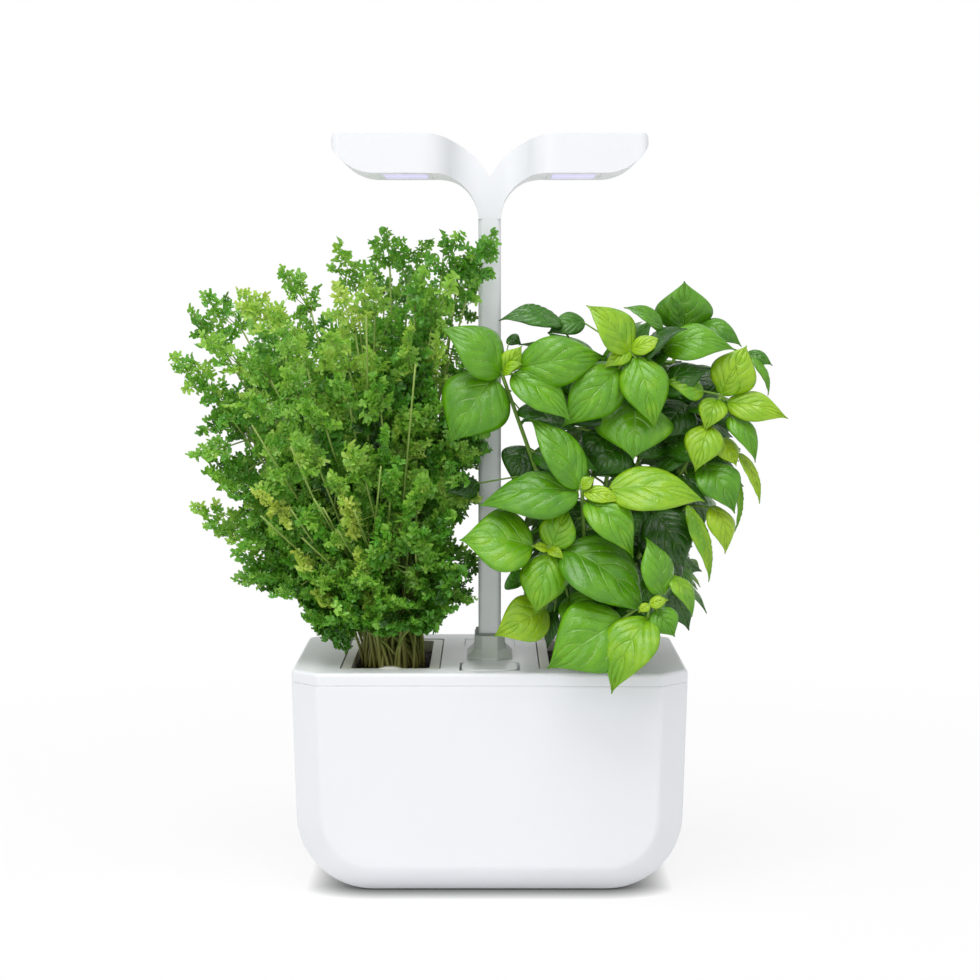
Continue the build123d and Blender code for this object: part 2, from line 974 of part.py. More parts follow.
def lamp_form(inset):
    with BuildPart(mode=Mode.PRIVATE) as form:
        extrude(lamp_outline(inset), amount=lamp_depth, both=True)
        tall = lamp_top - neck_low + 2 * overrun
        extrude(lamp_plan(inset), amount=tall, mode=Mode.INTERSECT)
    return form.part


def wing_places(x_offset, y_pitch):
    return [
        (side * (cover_x + x_offset), pole_y + end * y_pitch * half)
        for side in (-1, 1)
        for end in (-1, 1)
    ]


screw_places = wing_places(0, post_pitch)
with BuildPart() as lamp_shell:
    add(lamp_form(0))
    add(lamp_form(lamp_wall), mode=Mode.SUBTRACT)
    for side in (-1, 1):
        round_block(
            cover_width + 2 * cover_gap,
            cover_depth + 2 * cover_gap,
            cover_radius + cover_gap,
            lamp_under,
            cover_top,
            (side * cover_x, pole_y),
            Mode.SUBTRACT,
        )
    posts(boss_diameter, led_board_top, lamp_top - lamp_wall, screw_places)
    posts(
        screw_diameter + 2 * screw_fit,
        led_board_top,
        led_board_top + screw_bite,
        screw_places,
        Mode.SUBTRACT,
    )
    round_block(
        pole_width - 2 * pole_wall + 2 * tenon_fit,
        pole_depth - 2 * pole_wall + 2 * tenon_fit,
        pole_radius - pole_wall + tenon_fit,
        neck_low,
        neck_low + tenon_height + tenon_fit,
        (0, pole_y),
        Mode.SUBTRACT,
    )
save(lamp_shell.part, "lamp_shell")

tenon_wall = 2 * pole_wall
with BuildPart() as pole:
    round_block(pole_width, pole_depth, pole_radius, pole_low, neck_low, (0, pole_y))
    round_block(
        pole_width - 2 * pole_wall,
        pole_depth - 2 * pole_wall,
        pole_radius - pole_wall,
        neck_low,
        neck_low + tenon_height,
        (0, pole_y),
    )
    square_block(
        pole_width - 2 * tenon_wall,
        pole_depth - 2 * tenon_wall,
        pole_low,
        neck_low + tenon_height,
        (0, pole_y),
        Mode.SUBTRACT,
    )
    for side in (-1, 1):
        square_block(
            contact_width,
            2 * contact_thickness,
            contact_low,
            contact_high,
            (side * contact_pitch * half, contact_y),
            Mode.SUBTRACT,
        )
        with Locations(
            Location(
                (side * contact_pitch * half, contact_y - tenon_wall * half, contact_high - wire_elbow),
                (90, 0, 0),
            )
        ):
            Cylinder(wire_diameter * half + wire_fit, tenon_wall, mode=Mode.SUBTRACT)
save(pole.part, "pole")

with BuildPart() as pole_contacts:
    for side in (-1, 1):
        square_block(
            contact_width,
            contact_thickness,
            contact_low,
            contact_high,
            (side * contact_pitch * half, contact_y - contact_thickness * half),
        )
save(pole_contacts.part, "pole_contacts")

lamp_wires = []
for side in (-1, 1):
    wire_x = side * contact_pitch * half
    wire_end = contact_high - wire_elbow
    lamp_wires.append(
        tube(
            [
                (side * (cover_x - led_board_width * half), pole_y, wire_z),
                (wire_x, pole_y, wire_z),
                (wire_x, pole_y, wire_end),
                (wire_x, contact_y - contact_thickness, wire_end),
            ],
            [wire_bend, wire_elbow],
            wire_diameter,
        )
    )
save(Compound(children=lamp_wires), "lamp_wires")

for side, name in ((-1, "left"), (1, "right")):
    middle = (side * cover_x, pole_y)
    own_screws = [place for place in screw_places if place[0] * side > 0]
    with BuildPart() as under_cover:
        round_block(cover_width, cover_depth, cover_radius, lamp_under, cover_top, middle)
        posts(post_diameter, cover_top, led_board_low, own_screws)
        round_block(
            window_width, window_depth, cover_radius, lamp_under, cover_top, middle, Mode.SUBTRACT
        )
        posts(
            screw_diameter + 2 * screw_clearance,
            lamp_under,
            led_board_low,
            own_screws,
            Mode.SUBTRACT,
        )
        posts(
            screw_head + 2 * screw_head_gap,
            lamp_under,
            lamp_under + screw_head_height,
            own_screws,
            Mode.SUBTRACT,
        )
    save(under_cover.part, f"under_cover_{name}")

    with BuildPart() as diffuser:
        round_block(
            window_width - 2 * diffuser_gap,
            window_depth - 2 * diffuser_gap,
            cover_radius - diffuser_gap,
            lamp_under,
            cover_top,
            middle,
        )
        round_block(
            window_width + 2 * diffuser_flange,
            window_depth + 2 * diffuser_flange,
            cover_radius,
            cover_top,
            cover_top + flange_thickness,
            middle,
        )
    save(diffuser.part, f"diffuser_{name}")

    with BuildPart() as led_board:
        square_block(led_board_width, led_board_depth, led_board_low, led_board_top, middle)
        posts(
            screw_diameter + 2 * screw_clearance,
            led_board_low,
            led_board_top,
            own_screws,
            Mode.SUBTRACT,
        )
    save(led_board.part, f"led_board_{name}")

    with BuildPart() as leds:
        with BuildSketch(Plane.XY.offset(led_board_low - led_height)):
            with Locations(middle):
                with GridLocations(led_pitch_x, led_pitch_y, led_columns, led_rows):
                    Rectangle(led_length, led_width)
        extrude(amount=led_height)
    save(leds.part, f"leds_{name}")

with BuildPart() as lamp_screws:
    head_top = lamp_under + screw_head_height
    posts(screw_diameter, lamp_under, led_board_top + screw_bite, screw_places)
    posts(screw_head, lamp_under, head_top, screw_places)
save(lamp_screws.part, "lamp_screws")


# Pods with their soil and wick
def soil_width(opening, height):
    # The pod's inner width at a height, less the gap all round
    return opening - 2 * (pod_rim_top - height) * tan(radians(pod_draft)) - 2 * soil_gap


for side, name in ((-1, "left"), (1, "right")):
    middle = (side * pod_x, slot_y)
    with BuildPart() as pod_tray:
        round_block(pod_outer_width, pod_outer_length, slot_radius, ledge_top, pod_rim_top, middle)
        round_block(
            pod_outer_width - 2 * pod_wall,
            pod_outer_length - 2 * pod_wall,
            slot_radius - pod_wall,
            ledge_top,
            pod_rim_top - pod_rim_thickness,
            middle,
            Mode.SUBTRACT,
        )
        with BuildSketch(Plane.XY.offset(pod_rim_top)):
            with Locations(middle):
                RectangleRounded(
                    pod_opening_width + 2 * pod_wall, pod_opening_length + 2 * pod_wall, slot_radius
                )
        extrude(amount=-pod_depth, taper=pod_draft)
        # Raised lip at the middle of the front rim, with a finger notch on either side
        rim_front = slot_y - pod_outer_length * half
        rim_plane = Plane((side * pod_x, rim_front, pod_rim_top), (1, 0, 0), (0, -1, 0))
        with BuildSketch(rim_plane):
            with BuildLine():
                ThreePointArc((-bump_width * half, 0), (0, bump_height), (bump_width * half, 0))
                Line((bump_width * half, 0), (-bump_width * half, 0))
            make_face()
        extrude(amount=-pod_rim_width)
        for hand in (-1, 1):
            notch_x = side * pod_x + hand * (bump_width + notch_width) * half
            with Locations((notch_x, rim_front + notch_depth * half, pod_rim_top)):
                Box(notch_width, notch_depth, 2 * pod_rim_thickness, mode=Mode.SUBTRACT)
        with BuildSketch(Plane.XY.offset(pod_rim_top)):
            with Locations(middle):
                RectangleRounded(
                    pod_opening_width, pod_opening_length, slot_radius - pod_wall
                )
        extrude(amount=-(pod_depth - pod_wall), taper=pod_draft, mode=Mode.SUBTRACT)
        square_block(
            wick_width + 2 * wick_gap,
            wick_thickness + 2 * wick_gap,
            pod_low,
            pod_floor_top,
            middle,
            Mode.SUBTRACT,
        )
    save(pod_tray.part, f"pod_tray_{name}")

    with BuildPart() as substrate:
        with BuildSketch(Plane.XY.offset(soil_top)):
            with Locations(middle):
                RectangleRounded(
                    soil_width(pod_opening_width, soil_top),
                    soil_width(pod_opening_length, soil_top),
                    slot_radius - pod_wall,
                )
        extrude(amount=pod_floor_top - soil_top, taper=pod_draft)
        square_block(
            wick_width + 2 * wick_gap,
            wick_thickness + 2 * wick_gap,
            pod_floor_top,
            pod_floor_top + wick_tuck + wick_gap,
            middle,
            Mode.SUBTRACT,
        )
    save(substrate.part, f"substrate_{name}")

    with BuildPart() as wick:
        wick_low = tank_floor_top + wick_clearance
        square_block(
            wick_width, wick_thickness, wick_low, pod_floor_top + wick_tuck, middle
        )
    save(wick.part, f"wick_{name}")


# Herbs
def facing_plane(origin, direction, facing):
    # A leaf's plane: X along the leaf, Z square to it and nearest to where it faces
    along = direction.normalized()
    out = facing - along * facing.dot(along)
    return Plane(origin=origin, x_dir=along, z_dir=out.normalized())


def stem_foot(plant_x, index):
    # Stems stand in a loose ring on the soil, turned by the golden angle
    share = sqrt((index % ring_stems + 1) / (ring_stems + 1))
    turn = radians(index * golden_turn)
    return Vector(
        plant_x + stem_ring_x * share * cos(turn), slot_y + stem_ring_y * share * sin(turn), soil_top
    )


def stem_path(foot, tip, rise, diameter):
    bend = foot + Vector(0, 0, rise)
    return tube([foot, bend, tip], [stem_bend], diameter)


def from_middle(point, plant_x):
    # Level direction from the plant's middle to a point
    return Vector(point.X - plant_x, point.Y - slot_y, 0).normalized()


# Outline of a parsley frond, two side wings and an end wing: along its length, and half its
# breadth, as shares of its size
frond_shares = (
    (0.06, 0.03), (0.10, 0.28), (0.22, 0.50), (0.42, 0.46), (0.42, 0.16), (0.60, 0.34),
    (0.86, 0.28), (1.05, 0.0),
)


def frond(plane, size, stalk):
    outline = [(-parsley_stem * half, stalk_width * half)]
    outline += [(stalk + x * size, y * size) for x, y in frond_shares]
    outline += [(x, -y) for x, y in reversed(outline[:-1])]
    with BuildPart(mode=Mode.PRIVATE) as blade:
        with BuildSketch(plane.offset(-frond_thickness * half)):
            with BuildLine():
                Polyline(*outline, close=True)
            make_face()
        extrude(amount=frond_thickness)
    return blade.part


# Middles of the parsley fronds at the front and the edges, as shares of its reach, depth and
# height
parsley_shares = (
    (-0.02, -0.13, 0.97), (0.08, -0.08, 0.95), (-0.18, -0.20, 0.92), (0.24, -0.39, 0.95),
    (0.36, -0.36, 0.95), (0.30, -0.36, 0.91), (-0.40, -0.15, 0.88), (-0.58, -0.11, 0.84),
    (-0.46, -0.27, 0.80), (-0.07, -0.36, 0.86), (-0.18, -0.44, 0.82), (0.11, -0.39, 0.87),
    (0.20, -0.40, 0.84), (-0.75, -0.01, 0.83), (-0.85, 0.01, 0.78), (-0.92, -0.06, 0.70),
    (-0.74, -0.13, 0.74), (-0.78, -0.08, 0.64), (-0.73, -0.06, 0.57), (-0.60, -0.27, 0.72),
    (-0.40, -0.46, 0.74), (-0.21, -0.58, 0.74), (0.06, -0.46, 0.75), (0.16, -0.34, 0.71),
    (-0.06, -0.50, 0.70), (-0.41, -0.55, 0.66), (-0.51, -0.41, 0.60), (-0.30, -0.67, 0.60),
    (-0.34, -0.67, 0.52), (-0.07, -0.48, 0.58), (-0.02, -0.67, 0.54), (-0.13, -0.72, 0.50),
    (0.08, -0.38, 0.55), (0.18, -0.30, 0.48), (-0.78, -0.11, 0.48), (-0.70, -0.27, 0.43),
    (-0.80, -0.15, 0.36), (-0.72, -0.22, 0.32), (-0.50, -0.53, 0.40), (-0.17, -0.74, 0.39),
    (-0.21, -0.67, 0.44), (0.01, -0.69, 0.44), (0.12, -0.72, 0.43), (-0.58, -0.27, 0.25),
    (-0.60, -0.22, 0.20), (-0.44, -0.36, 0.22), (-0.02, -0.72, 0.32), (0.11, -0.74, 0.33),
    (0.22, -0.62, 0.35), (0.24, -0.62, 0.24), (-0.29, -0.60, 0.23), (-0.10, -0.74, 0.23),
    (-0.18, -0.69, 0.17), (0.04, -0.72, 0.18), (0.20, -0.60, 0.16), (-0.31, -0.51, 0.15),
    (-0.21, -0.60, 0.14), (0.12, -0.60, 0.15), (-0.03, -0.66, 0.17), (-0.43, -0.44, 0.30),
    (0.06, -0.30, 0.62), (-0.19, -0.65, 0.66), (-0.26, -0.65, 0.32), (-0.05, -0.72, 0.64),
)
# Behind: every third of them again, drawn in towards the crown and spread over the back
back_shares = tuple(
    (
        crown_share + (x - crown_share) * drawn_share,
        back_start_share + back_spread_share * (index * golden_share % 1),
        z * back_height_share,
    )
    for index, (x, y, z) in enumerate(parsley_shares[::3])
)
parsley_x = -pod_x
parsley = []
for index, (x, y, z) in enumerate(parsley_shares + back_shares):
    foot = stem_foot(parsley_x, index)
    middle = Vector(
        parsley_x + x * parsley_reach, slot_y + y * parsley_depth, soil_top + z * parsley_height
    )
    tip = middle - (middle - foot).normalized() * frond_size * frond_reach_share
    knee = foot + Vector(0, 0, parsley_rise)
    lean = (tip - knee).normalized()
    outward = from_middle(middle, parsley_x)
    heading = (lean + outward * frond_out_share).normalized()
    facing = outward * frond_out_share + Vector(0, -frond_front_share, frond_up_share)
    parsley.append(stem_path(foot, tip, parsley_rise, parsley_stem))
    parsley.append(frond(facing_plane(tip, heading, facing), frond_size, 0))
    side_place = knee + (tip - knee) * side_place_share
    across = heading.cross(facing).normalized()
    for hand in (-1, 1):
        splay = heading * cos(radians(splay_angle)) + across * hand * sin(radians(splay_angle))
        side_plane = facing_plane(side_place, splay, facing)
        parsley.append(frond(side_plane, frond_size * side_frond_share, frond_stalk))
save(Compound(children=parsley), "parsley")


def basil_leaf(plane, length, breadth):
    # A leaf blade: a pointed oval cut from a thin cylinder, so that it arches along its length
    bend_radius = arch_share * length
    stalk = leaf_stalk * half
    with BuildPart(mode=Mode.PRIVATE) as blade:
        with BuildSketch(Plane.XY.offset(-bend_radius)):
            with BuildLine():
                Line((-stalk, -stalk), (-stalk, stalk))
                Line((-stalk, stalk), (stalk_length, stalk))
                Bezier(
                    (stalk_length, stalk),
                    (shoulder_share * length, belly_share * breadth),
                    (waning_share * length, cheek_share * breadth),
                    (length, 0),
                )
                Bezier(
                    (length, 0),
                    (waning_share * length, -cheek_share * breadth),
                    (shoulder_share * length, -belly_share * breadth),
                    (stalk_length, -stalk),
                )
                Line((stalk_length, -stalk), (-stalk, -stalk))
            make_face()
        extrude(amount=bend_radius + leaf_thickness)
        with Locations(Location((0, 0, -bend_radius), (90, 0, 0))):
            Cylinder(bend_radius + leaf_thickness * half, 2 * breadth, mode=Mode.INTERSECT)
            Cylinder(bend_radius - leaf_thickness * half, 2 * breadth, mode=Mode.SUBTRACT)
    return plane.location * blade.part


# Basil shoots: the tip of each as shares of reach, depth and height, then its front leaves, each
# from the shoot's tip to its own as shares of the leaf size, and its breadth for its length
basil_shares = (
    ((-0.43, -0.68, 0.79), ((-0.64, -0.12, 0.54, 0.80), (-0.58, -0.20, -0.74, 0.90),
                            (0.78, -0.16, -0.48, 0.65), (1.16, 0.12, 0.20, 0.55),
                            (0.22, -0.04, 0.30, 0.70))),
    ((0.20, -0.57, 0.84), ((-0.76, -0.24, -0.80, 0.60), (-0.46, -0.08, 0.56, 0.80),
                           (0.26, -0.32, -0.80, 0.65), (0.02, -0.20, -1.14, 0.80),
                           (0.36, -0.08, 0.16, 0.60), (-0.30, -0.16, -0.14, 0.60),
                           (-0.04, 0.20, 0.54, 0.45))),
    ((-0.04, -0.81, 0.50), ((-0.56, 0.12, 0.82, 0.60), (-1.16, -0.12, -0.10, 0.65),
                            (1.34, -0.04, -0.06, 0.52), (0.56, -0.20, -0.70, 0.60),
                            (0.40, -0.12, -0.10, 0.50))),
    ((-0.21, -0.86, 0.35), ((-0.96, -0.08, 0.14, 0.85), (0.22, 0.04, 0.44, 0.90),
                            (-0.14, -0.24, -0.68, 0.78), (1.10, -0.16, -0.66, 0.74),
                            (-0.58, -0.04, -0.96, 0.50))),
    ((0.27, -1.02, 0.21), ((0.02, 0.22, 0.74, 0.72), (-1.10, -0.22, -0.60, 0.60),
                           (-0.44, -0.22, -0.90, 0.63), (0.28, -0.06, -0.32, 0.88),
                           (0.52, 0.18, -0.12, 0.70))),
    ((0.65, -0.43, 0.73), ((0.40, -0.20, -0.70, 0.46), (0.74, -0.16, -0.20, 0.55),
                           (-0.32, -0.36, -0.80, 0.50), (0.18, -0.12, -0.76, 0.45),
                           (-0.20, -0.20, -0.36, 0.80), (0.28, -0.04, 0.58, 0.85),
                           (-0.64, -0.16, 0.20, 0.60), (0.14, -0.12, 0.36, 0.80))),
    ((0.49, -0.34, 0.44), ((0.28, -0.64, -0.76, 0.40), (0.44, -0.44, -0.48, 0.50),
                           (-0.04, -0.44, -0.64, 0.85), (0.52, -0.52, 0.0, 0.75),
                           (0.86, -0.24, 0.08, 0.30))),
    ((0.49, -0.10, 0.90), ((0.0, -0.16, 0.58, 1.0), (0.66, -0.20, -0.12, 0.55),
                           (-0.14, -0.24, 0.40, 0.60), (0.52, -0.72, -0.14, 0.60))),
    ((-0.04, 0.10, 0.84), ()),
    ((0.12, 0.60, 0.69), ()),
    ((0.56, 0.48, 0.60), ()),
    ((0.05, 0.63, 0.35), ()),
    ((0.49, 0.39, 0.25), ()),
)
# Pairs of leaves down each stem, a quarter turn on from pair to pair: how many, how far the
# first one is below the tip, the pitch, and how much of the sideways reach in Y is kept. Where
# front leaves stand, the pairs start lower and turn to the back.
front_pairs = 2
front_pair_drop = 22.0
front_pair_pitch = 14.0
back_pairs = 5
back_pair_drop = 2.0
back_pair_pitch = 10.0
back_turned_share = 0.60
pole_clearance = 9.0
deck_clearance = 6.0
basil_x = pod_x
basil_facing = Vector(0, -leaf_front_share, leaf_up_share)
basil = []
for index, (tip_share, leaves) in enumerate(basil_shares):
    foot = stem_foot(basil_x, index)
    tip = Vector(
        basil_x + tip_share[0] * basil_reach,
        slot_y + tip_share[1] * basil_depth,
        soil_top + tip_share[2] * basil_height,
    )
    lean = (tip - foot - Vector(0, 0, basil_rise)).normalized()
    outward = from_middle(tip, basil_x)
    basil.append(stem_path(foot, tip, basil_rise, basil_stem))
    for x, y, z, breadth_share in leaves:
        reach = Vector(x, y, z) * leaf_size
        blade_plane = facing_plane(tip, reach, basil_facing)
        basil.append(basil_leaf(blade_plane, reach.length, reach.length * breadth_share))
    pairs, drop, pitch = front_pairs, front_pair_drop, front_pair_pitch
    if not leaves:
        pairs, drop, pitch = back_pairs, back_pair_drop, back_pair_pitch
    for pair in range(pairs):
        root = tip - lean * (drop + pair * pitch)
        length = pair_size + pair_growth * pair
        for hand in (0, 180):
            turn = radians(index * shoot_turn + pair * pair_turn + hand)
            side_y = sin(turn)
            if leaves:
                side_y = abs(side_y) * back_turned_share
            ray = Vector(cos(turn), side_y, -pair_droop_share) + outward * pair_out_share
            end = root + ray.normalized() * length
            clear_of_pole = end.X > pole_width * half + pole_clearance
            if clear_of_pole and end.Z > deck_top + deck_clearance:
                blade_plane = facing_plane(
                    root, ray, outward * half + Vector(0, 0, pair_up_share)
                )
                basil.append(basil_leaf(blade_plane, length, length * pair_breadth_share))
save(Compound(children=basil), "basil")
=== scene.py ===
import math

import bpy
import numpy as np
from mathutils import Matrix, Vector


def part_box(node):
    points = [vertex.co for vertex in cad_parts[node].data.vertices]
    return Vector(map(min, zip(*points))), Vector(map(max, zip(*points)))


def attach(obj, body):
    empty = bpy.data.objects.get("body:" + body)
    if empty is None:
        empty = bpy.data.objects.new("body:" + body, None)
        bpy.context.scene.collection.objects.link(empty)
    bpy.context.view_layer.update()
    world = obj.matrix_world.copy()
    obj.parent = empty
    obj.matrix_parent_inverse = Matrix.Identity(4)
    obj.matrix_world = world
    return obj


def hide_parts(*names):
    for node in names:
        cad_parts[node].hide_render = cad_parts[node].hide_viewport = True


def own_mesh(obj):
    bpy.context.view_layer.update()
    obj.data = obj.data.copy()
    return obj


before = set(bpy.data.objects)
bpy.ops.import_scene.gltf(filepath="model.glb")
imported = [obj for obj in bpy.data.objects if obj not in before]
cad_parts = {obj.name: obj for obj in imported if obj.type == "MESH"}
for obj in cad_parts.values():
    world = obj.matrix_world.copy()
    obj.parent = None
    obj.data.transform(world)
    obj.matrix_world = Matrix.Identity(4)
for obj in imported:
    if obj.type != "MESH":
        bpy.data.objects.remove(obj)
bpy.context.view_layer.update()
scene = bpy.context.scene
mm = 0.001
random = np.random.default_rng(41)
made = {}  # every material by its name


# Small helpers

def linear(hexText, alpha=1.0):
    # sRGB hex to linear light: c / 12.92 near black, ((c + 0.055) / 1.055) ^ 2.4 above
    c = np.array([int(hexText[i:i + 2], 16) for i in (1, 3, 5)]) / 255
    c = np.where(c <= 0.04045, c / 12.92, ((c + 0.055) / 1.055) ** 2.4)
    return (*c.tolist(), alpha)


def addNode(tree, kind, settings=None, links=None):
    # settings go to a property of the node if it has one of that name, else to that input
    node = tree.nodes.new("ShaderNode" + kind)
    for key, value in (settings or {}).items():
        if isinstance(key, str) and hasattr(node, key):
            setattr(node, key, value)
        else:
            node.inputs[key].default_value = value
    for key, source in (links or {}).items():
        tree.links.new(source, node.inputs[key])
    return node


def newMaterial(name):
    # An empty material, kept in made: its tree and the Object coordinates that patterns read
    made[name] = bpy.data.materials.new(name)
    made[name].use_nodes = True
    tree = made[name].node_tree
    tree.nodes.clear()
    return tree, addNode(tree, "TexCoord").outputs["Object"]


def makeSurface(tree, settings, links, height=None, depth=0.0, under=None):
    # A principled shader; height becomes bump of that depth (mm), over the normal under
    if height is not None:
        fields = {"Height": height} if under is None else {"Height": height, "Normal": under}
        bump = addNode(tree, "Bump", {"Distance": depth * mm}, fields)
        links = {**links, "Normal": bump.outputs[0]}
    return addNode(tree, "BsdfPrincipled", settings, links)


def closeMaterial(tree, shader):
    addNode(tree, "OutputMaterial", links={"Surface": shader.outputs[0]})


def unit(vectors):
    return vectors / np.maximum(np.linalg.norm(vectors, axis=-1, keepdims=True), 1e-9)


def makeMesh(name, points, quads, body, materials, replaced, faceSlots=None, coords=None):
    # points (n, 3) in metres, quads (m, 4); coords is one vector a point for the materials
    mesh = bpy.data.meshes.new(name)
    mesh.vertices.add(len(points))
    mesh.vertices.foreach_set("co", np.ascontiguousarray(points, np.float32).ravel())
    mesh.loops.add(quads.size)
    mesh.loops.foreach_set("vertex_index", quads.astype(np.int32).ravel())
    mesh.polygons.add(len(quads))
    mesh.polygons.foreach_set("loop_start", np.arange(0, quads.size, 4, dtype=np.int32))
    mesh.polygons.foreach_set("use_smooth", np.ones(len(quads), bool))
    for material in materials:
        mesh.materials.append(material)
    if faceSlots is not None:
        mesh.polygons.foreach_set("material_index", faceSlots.astype(np.int32))
    if coords is not None:
        layer = mesh.attributes.new("growth", "FLOAT_VECTOR", "POINT")
        layer.data.foreach_set("vector", np.ascontiguousarray(coords, np.float32).ravel())
    mesh.update(calc_edges=True)
    piece = bpy.data.objects.new(name, mesh)
    scene.collection.objects.link(piece)
    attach(piece, body)
    if replaced:
        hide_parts(*replaced)
    return piece


def gridQuads(count, rows, columns, closed=False):
    # Quads of count grids of rows x columns points, each grid after the last; closed joins the
    # last column to the first
    row, column = np.arange(rows - 1)[:, None], np.arange(columns if closed else columns - 1)[None]
    after = (column + 1) % columns
    one = np.stack([row * columns + column, (row + 1) * columns + column,
                    (row + 1) * columns + after, row * columns + after], -1).reshape(-1, 4)
    return (one[None] + (np.arange(count) * rows * columns)[:, None, None]).reshape(-1, 4)


def makeTubes(paths, radii, sides):
    # A round tube along each path (n, m, 3): ring at every point, square to the tangent there;
    # radii (n, m). The ends are drawn in to a point.
    tangent = unit(np.gradient(paths, axis=1))
    skew = np.array([0.21, 0.93, 0.17])  # a direction that no stem follows
    side = unit(np.cross(tangent, skew))
    up = np.cross(side, tangent)
    turn = np.linspace(0, 2 * math.pi, sides, endpoint=False)
    ring = side[:, :, None] * np.cos(turn)[:, None] + up[:, :, None] * np.sin(turn)[:, None]
    points = paths[:, :, None] + ring * radii[:, :, None, None]
    first = np.repeat(paths[:, :1, None], sides, 2)
    last = np.repeat(paths[:, -1:, None], sides, 2)
    points = np.concatenate([first, points, last], 1)
    n, rows = points.shape[:2]
    quads = gridQuads(n, rows, sides, closed=True)
    along = np.broadcast_to(np.linspace(0, 1, rows)[None, :, None], points.shape[:3])
    return points.reshape(-1, 3), quads, along.reshape(-1)


# Camera, light and floor
print("stage: camera, light and floor")

shot = {"eye": (0.18, -1340.5, 326.6), "tiltDown": 2.84, "lens": 84.36, "shift": -0.0683}
camera = bpy.data.cameras.new("camera")
camera.lens, camera.sensor_width = shot["lens"], 36
camera.shift_y = shot["shift"]
cameraObject = bpy.data.objects.new("camera", camera)
cameraObject.location = np.array(shot["eye"]) * mm
cameraObject.rotation_euler = (math.radians(90 - shot["tiltDown"]), 0, 0)
scene.collection.objects.link(cameraObject)
scene.camera = cameraObject
scene.view_settings.view_transform = "Standard"

# Each soft lamp: where it stands and what it looks at (metres), its size and its power
lamps = {
    "keyLeft": {"at": (-1.0, -1.9, 1.15), "aim": (0, 0, 0.2), "size": 1.3, "power": 9.2},
    "fillRight": {"at": (1.6, -1.4, 1.0), "aim": (0, 0, 0.2), "size": 1.6, "power": 3.5},
    "top": {"at": (-0.2, -0.6, 2.1), "aim": (0, 0, 0.2), "size": 1.4, "power": 27},
}
for name, lamp in lamps.items():
    light = bpy.data.lights.new(name, "AREA")
    light.shape, light.size, light.energy = "SQUARE", lamp["size"], lamp["power"]
    lightObject = bpy.data.objects.new(name, light)
    at, aim = np.array(lamp["at"]), np.array(lamp["aim"])
    back = unit(at - aim)
    lightObject.location = at
    lightObject.rotation_euler = (math.acos(back[2]), 0, math.atan2(back[0], -back[1]))
    scene.collection.objects.link(lightObject)

# ambient: light of the surround on the object; white: how far the paper is lifted to white for
# the eye near the object and away from it, which fades in between (metres); contact: how far the
# painted contact shadow close under the object reaches, mm
studio = {"ambient": 0.47, "paper": "#F6F6F6", "white": (0.84, 1.0), "fade": (0.25, 0.8), "size": 9.0,
          "contact": 15.0}


def seenByEye(tree):
    # 1 for camera, glossy and transmission rays, which show the white surround
    path = addNode(tree, "LightPath")
    clear = addNode(tree, "Math", {"operation": "MAXIMUM"},
                    {0: path.outputs["Is Glossy Ray"], 1: path.outputs["Is Transmission Ray"]})
    return addNode(tree, "Math", {"operation": "MAXIMUM"},
                   {0: path.outputs["Is Camera Ray"], 1: clear.outputs[0]}).outputs[0]


world = bpy.data.worlds.new("studio")
world.use_nodes = True
world.node_tree.nodes.clear()
tree = world.node_tree
strength = addNode(tree, "MapRange", {"To Min": studio["ambient"], "To Max": 1.0},
                   {"Value": seenByEye(tree)})
sky = addNode(tree, "Background", {"Color": (1, 1, 1, 1)}, {"Strength": strength.outputs[0]})
addNode(tree, "OutputWorld", links={"Surface": sky.outputs[0]})
scene.world = world

# White paper sweep: matt, and lifted to white for the eye; close under the object the lift is dimmed, a
# painted contact shadow, while the matt share keeps a little of the real shadow
tree, spot = newMaterial("whitePaper")
# Close under the object the lift goes too, as painted contact shadow: free is 1 in the open and 0 where
# the object stands
free = addNode(tree, "AmbientOcclusion", {"Distance": studio["contact"] * mm, "samples": 12})
matt = addNode(tree, "BsdfDiffuse", {"Color": linear(studio["paper"])})
glow = addNode(tree, "Emission", {"Color": (1, 1, 1, 1)}, {"Strength": free.outputs["AO"]})
away = addNode(tree, "VectorMath", {"operation": "LENGTH"}, {0: spot})
ease = addNode(tree, "MapRange", {"From Min": studio["fade"][0], "From Max": studio["fade"][1],
                                  "To Min": studio["white"][0], "To Max": studio["white"][1]},
               {"Value": away.outputs["Value"]})
share = addNode(tree, "Math", {"operation": "MULTIPLY"}, {0: seenByEye(tree), 1: ease.outputs[0]})
both = addNode(tree, "MixShader", links={0: share.outputs[0], 1: matt.outputs[0], 2: glow.outputs[0]})
closeMaterial(tree, both)
reach = studio["size"] / 2
mesh = bpy.data.meshes.new("floor")
mesh.from_pydata([(-reach, -reach, 0), (reach, -reach, 0), (reach, reach, 0), (-reach, reach, 0)],
                 [], [(0, 1, 2, 3)])
mesh.materials.append(made["whitePaper"])
floor = bpy.data.objects.new("floor", mesh)
scene.collection.objects.link(floor)


# Finishes of the moulded and metal parts
print("stage: finishes")

